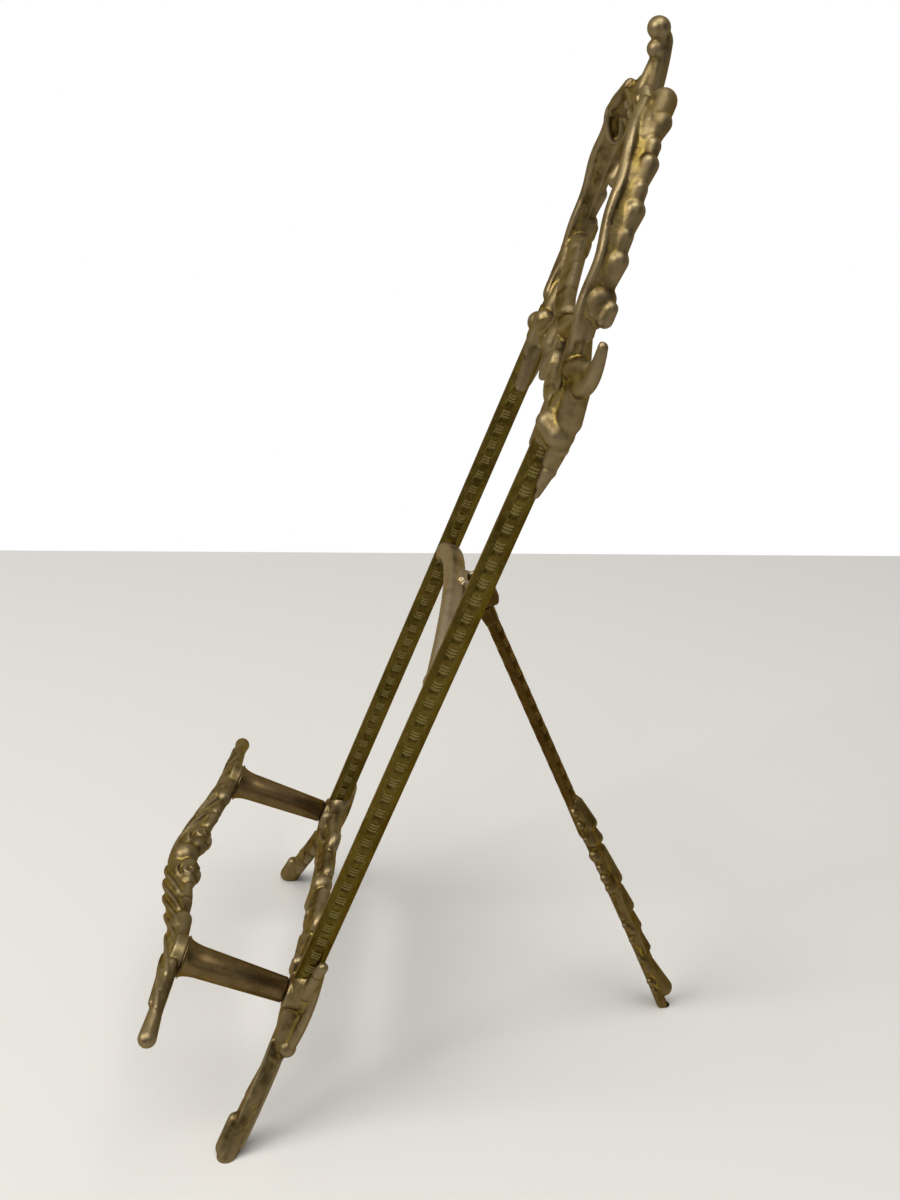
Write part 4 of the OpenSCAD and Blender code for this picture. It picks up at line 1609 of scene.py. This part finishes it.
@dataclass(frozen=True)
class RearLeg:
    """The hinged leg: head, engraved shank and leaf foot.

    Attributes:
        length: Distance from the pin to the tip on the floor.
        leaf: Length of the leaf foot.
        head_half: Half thickness of the head.
        head_back: Distance of the head's back behind the pin.
        head_front: Distance of the head's front in front of the pin.
        shoulder: Distance of the head's lower edge below the pin.
        half_width: Half width of the shank.
        half_depth: Half depth of the shank.
    """

    length: float
    leaf: float = 81.0
    head_half: float = 2.0
    head_back: float = 4.4
    head_front: float = 2.9
    shoulder: float = 6.6
    half_width: float = 2.8
    half_depth: float = 1.8

    def head(self) -> list[Shell]:
        """The leg's upper end.

        Returns:
            The square-shouldered head, and the neck under it.
        """
        front = (self.head_front - self.head_back) / 2
        depth = (self.head_front + self.head_back) / 2
        across = np.linspace(-self.head_half, self.head_half, 14)[:, None] * ACROSS + point(0, -1.85, front)
        fall = np.linspace(0.0, 1.0, 14)[:, None]
        neck = (0.6 - self.shoulder - 6.0 * fall) * UP + 0.45 * (1.0 - fall) ** 1.5 * FRONT
        wide = self.half_width + 0.4, self.half_width
        return [
            scroll(across, (4.75, 4.75), (depth, depth), square=7, ends=0.3, sides=40),
            scroll(neck, wide, (2.4, self.half_depth), square=4, ends=0.4),
        ]

    def leaf_foot(self) -> list[Shell]:
        """The leaf at the leg's lower end.

        Returns:
            A blade that swells to the rear, with a spine of lobes, side veins, edge buds and a toe.
        """
        shank_end = self.length - self.leaf
        path = bezier(
            point(0, -shank_end + 3, -0.4),
            point(0.001, -shank_end - 0.3 * self.leaf, -1.2),
            point(0, -self.length + 0.3 * self.leaf, -1.4),
            point(0, -self.length - 4, -0.4),
            steps=91,
        )
        ferrule = point(0, -shank_end, -0.3) + np.linspace(3.0, -13.0, 24)[:, None] * UP
        shells = [
            scroll(path, (2.9, 1.6), (2.2, 1.3), bulge=1.2),
            scroll(path + 0.9 * FRONT, (3.4, 1.7), (1.3, 1.0), bulge=1.4),
            scroll(ferrule, (3.1, 3.2), (2.2, 2.4), square=2.2),
            lobe(path[68] - 1.0 * FRONT, path[79] - 2.0 * FRONT, 1.7, 2.9),
        ]
        spine = (
            (3, 12, 1.4, 2.1), (15, 18, 1.7, 1.8), (22, 34, 1.7, 2.1),
            (38, 45, 1.8, 2.0), (48, 53, 1.6, 1.7), (57, 62, 1.5, 1.6),
        )
        for first, last, high, low in spine:
            shells.append(lobe(path[first] - 1.3 * FRONT, path[last] - 1.8 * FRONT, high, low))
        t = np.linspace(0.0, 1.0, len(path))
        reach = path + (3.3 - 1.6 * t + 1.35 * np.sin(pi * t))[:, None] * ACROSS
        side = [
            scroll(path[36:78] + point(1.9, 0, -1.5), (0.6, 0.5), (0.9, 0.7)),
            lobe(path[3] + point(1.2, 0, -1.0), path[12] + point(2.2, 0, -1.4), 1.0, 1.2),
        ]
        for back, part in ((0.4, slice(33, 60)), (1.5, slice(35, 64))):
            strand = wavy(reach - back * FRONT, 0.3, 6.0)[part]
            side.append(scroll(strand, (0.6, 0.5), (0.6, 0.5), facing=ACROSS))
        for i in (12, 30, 47, 63):
            side.append(lobe(path[i] + point(1.6, 0, -0.2), path[i + 6] + point(3.2, 1.2, -0.4), 1.6, 1.6))
        buds = {
            4: 1.0, 9: 1.0, 15: 1.1, 21: 1.6, 26: 1.1, 30: 1.3, 34: 1.2,
            45: 1.0, 49: 1.1, 55: 1.1, 63: 1.0, 67: 1.0, 73: 1.2, 77: 1.0,
        }
        for i, radius in buds.items():
            side.append(lobe(reach[i] + 0.8 * FRONT, reach[i + 1] + 0.4 * FRONT, 0.9 * radius, radius))
        return shells + both_sides(side)

    def build(self, plane: Plane) -> None:
        """Makes the leg's pieces and dresses them.

        Args:
            plane: Plane of the leg, from the hinge pin down.
        """
        head = Casting(voxel=0.24, soft=2).mesh("leg_head", self.head(), plane)
        # The head takes the shank's dark skin, which is partly dirt and partly painted shade.
        Piece("leg_head", Body.LEG, Slot.ENGRAVED, DIRTY_SHADED_SHANK, ("rear_leg",)).dress(head)
        dashes = DashBand(middle=0.0, reach=2.5)
        size = self.half_width, self.half_depth
        bar = EngravedBar(*size, corner=0.5, dashes=dashes, on_sides=False, start=0.3)
        top = -self.shoulder - 2.5
        foot = -(self.length - self.leaf) - 4
        shell, cut = bar.shell(top, foot, first=top - 4, last=foot + 2)
        shank = closed_mesh("leg_shank", plane, shell, point(0, 0, 0), cut)
        Piece("engraved_leg_shank", Body.LEG, Slot.ENGRAVED, DIRTY_SHADED_SHANK, ("rear_leg",)).dress(shank)
        leaf = Casting(voxel=0.34).mesh("leg_foot", self.leaf_foot(), plane)
        Piece("leaf_foot", Body.LEG, Slot.CAST, LEAF, ("leg_foot",)).dress(leaf)


@dataclass(frozen=True)
class Hardware:
    """The riveted hinge pin, and the screws that hold the posts.

    Attributes:
        layout: The stand's dimensions.
        pin: Radius of the pin.
        grip: Half the pin's length under its heads.
        head: Radius of the rivet heads.
        dome: Height of the rivet heads.
    """

    layout: Layout
    pin: float = 1.2
    grip: float = 4.15
    head: float = 2.05
    dome: float = 0.9

    def build(self, plane: Plane, screws: bpy.types.Object) -> None:
        """Turns the pin and dresses it, and gives the screws their finish.

        Args:
            plane: Plane of the leaning frame.
            screws: The screws as the frame brings them.
        """
        turn = np.linspace(0.0, pi / 2, 10)
        cap = np.stack([self.head * np.sin(turn), self.grip + self.dome * np.cos(turn)], axis=1)
        half = np.concatenate([cap, [[self.pin, self.grip]]])
        profile = np.concatenate([half[:1] * [0, 1], half, (half * [1, -1])[::-1]])[::-1]
        shell = turned(profile, sides=32)
        laid = np.stack([shell.points[:, 2], shell.points[:, 1], -shell.points[:, 0]], axis=1)
        place = point(0, self.layout.pin_up, -self.layout.pin_back)
        mesh = closed_mesh("hinge_pin", plane, Shell(laid, shell.faces), place)
        Piece("riveted_pin", Body.FRAME, Slot.TURNED, TURNED, ("hinge_pin",)).dress(mesh)
        screws.data.materials.clear()
        screws.data.materials.append(TURNED.material())


@dataclass(frozen=True)
class PhotoCamera:
    """The photograph's camera, fitted to the stand.

    Attributes:
        place: Place in millimetres, from the middle of the frame's foot line.
        yaw: Turn away from looking straight across, in degrees.
        pitch: Look down, in degrees.
        roll: Roll, in degrees.
        focal: Focal length in pixels.
        image_height: Height of the photograph in pixels.
    """

    place: Triple = (340.27, 69.73, 301.05)
    yaw: float = 2.0
    pitch: float = 25.15
    roll: float = -0.43
    focal: float = 1367.28
    image_height: int = 1200

    def build(self, plane: Plane) -> None:
        """Makes the camera and looks through it.

        Args:
            plane: Plane of the leaning frame.
        """
        yaw, pitch, roll = radians(self.yaw), radians(self.pitch), radians(self.roll)
        forward = np.array([-cos(yaw) * cos(pitch), -sin(yaw) * cos(pitch), -sin(pitch)])
        right = unit(np.cross(forward, np.array([0.0, 0.0, 1.0])))
        top = np.cross(right, forward)
        rolled = cos(roll) * right + sin(roll) * top
        upright = cos(roll) * top - sin(roll) * right
        data = bpy.data.cameras.new("photo_camera")
        data.sensor_fit = "VERTICAL"
        data.sensor_height = 36.0
        data.lens = self.focal / self.image_height * data.sensor_height
        data.clip_start = 0.01
        camera = add_object("photo_camera", data)
        turn = Matrix(np.stack([rolled, upright, -forward], axis=1).tolist()).to_4x4()
        foot_line = np.array([0.0, plane.origin[1], 0.0])
        camera.matrix_world = Matrix.Translation(Vector((foot_line + np.array(self.place)) * MM)) @ turn
        bpy.context.scene.camera = camera


@dataclass(frozen=True)
class Lamp:
    """One soft studio lamp.

    Attributes:
        name: Name of the lamp.
        place: Place in metres.
        size: Width of the lamp in metres.
        power: Power in watts.
        colour: Colour of its light.
    """

    name: str
    place: Triple
    size: float
    power: float
    colour: Triple = (1.0, 1.0, 1.0)

    def build(self, target: Vector) -> None:
        """Makes the lamp and turns it to the target.

        Args:
            target: Place in metres that the lamp shines at.
        """
        data = bpy.data.lights.new(self.name, "AREA")
        data.size = self.size
        data.energy = self.power
        data.color = self.colour
        lamp = add_object(self.name, data)
        lamp.location = self.place
        lamp.rotation_euler = (target - Vector(self.place)).to_track_quat("-Z", "Y").to_euler()


@dataclass(frozen=True)
class Studio:
    """The pale table, the white surroundings and the lamps.

    Attributes:
        far_edge: Place of the table's far edge along X, in metres.
        near_edge: Place of its near edge along X, in metres.
        half_width: Half its width along Y, in metres.
        colour: Colour of the table.
        mirrored: Brightness in reflections of the wall behind the stand and of the room by the camera.
        given: Brightness of the light that the room gives.
        dull: Roughness of the table.
        aim: Place in metres that the lamps shine at.
        lamps: The lamps.
    """

    far_edge: float = -0.362
    near_edge: float = 1.4
    half_width: float = 1.4
    colour: Triple = (0.56, 0.545, 0.515)
    mirrored: Pair = (0.6, 0.05)
    given: float = 0.34
    dull: float = 0.6
    aim: Triple = (0.0, 0.0, 0.12)
    lamps: tuple[Lamp, ...] = (
        Lamp("window", (0.45, -1.0, 1.1), 0.8, 17.0, (1.0, 0.98, 0.95)),
        Lamp("ceiling", (0.3, 0.1, 1.5), 1.0, 16.0),
        Lamp("fill", (1.2, 0.5, 0.6), 0.7, 1.2),
    )

    def build(self) -> None:
        """Makes the table, the surroundings and the lamps."""
        far, near, half = self.far_edge, self.near_edge, self.half_width
        corners = np.array([[far, -half, 0.0], [near, -half, 0.0], [near, half, 0.0], [far, half, 0.0]])
        mesh = quad_mesh("table", corners, np.array([[0, 1, 2, 3]]))
        table = add_object("table", mesh)
        finish = bpy.data.materials.new("pale_table")
        finish.use_nodes = True
        shader = NodeSheet(finish.node_tree).shader()
        shader.inputs["Base Color"].default_value = (*self.colour, 1.0)
        shader.inputs["Roughness"].default_value = self.dull
        mesh.materials.append(finish)
        world = bpy.data.worlds.new("white_room")
        world.use_nodes = True
        bpy.context.scene.world = world
        self.light_room(NodeSheet(world.node_tree))
        for lamp in self.lamps:
            lamp.build(Vector(self.aim))

    def light_room(self, sheet: NodeSheet) -> None:
        """Makes the room white to the eye, and softer in its light and in what the brass mirrors.

        Args:
            sheet: Nodes of the world.
        """
        path = sheet.add("ShaderNodeLightPath")
        seen = sheet.math("MAXIMUM", path.outputs["Is Camera Ray"], path.outputs["Is Transmission Ray"])
        parts = sheet.add("ShaderNodeSeparateXYZ")
        sheet.link(sheet.add("ShaderNodeTexCoord").outputs["Generated"], parts.inputs["Vector"])
        wall = sheet.span(sheet.ramp(parts.outputs["X"], -0.7, 0.5), *self.mirrored)
        glossy = sheet.math("MULTIPLY", path.outputs["Is Glossy Ray"], wall)
        plain = sheet.math("SUBTRACT", 1.0, path.outputs["Is Glossy Ray"])
        given = sheet.math("ADD", glossy, sheet.math("MULTIPLY", plain, self.given))
        level = sheet.math("MAXIMUM", seen, given)
        background = next(node for node in sheet.tree.nodes if node.type == "BACKGROUND")
        background.inputs["Color"].default_value = (1.0, 1.0, 1.0, 1.0)
        sheet.link(level, background.inputs["Strength"])


def main() -> None:
    """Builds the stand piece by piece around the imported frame."""
    logging.basicConfig(level=logging.INFO, format="%(name)s: %(message)s")
    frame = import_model()
    bpy.context.scene.view_settings.view_transform = "Standard"
    layout = Layout()
    joint = next(joint for joint in frame["joints"] if joint["name"] == "leg_fold")
    pin = np.array(joint["pos_m"]) / MM
    plane = layout.frame_plane(pin)
    PhotoCamera().build(plane)
    Studio().build()
    Rods(layout).build(plane)
    Crest(layout).build(plane)
    Crossbar(layout).build(plane)
    Corner(layout).build(plane)
    Apron().build(plane)
    BookRail(layout).build(plane)
    Posts(layout).build(plane)
    RearLeg(layout.leg_length(pin)).build(layout.leg_plane(pin))
    Hardware(layout).build(plane, frame["nodes"]["post_screws"])


if __name__ == "__main__":
    main()
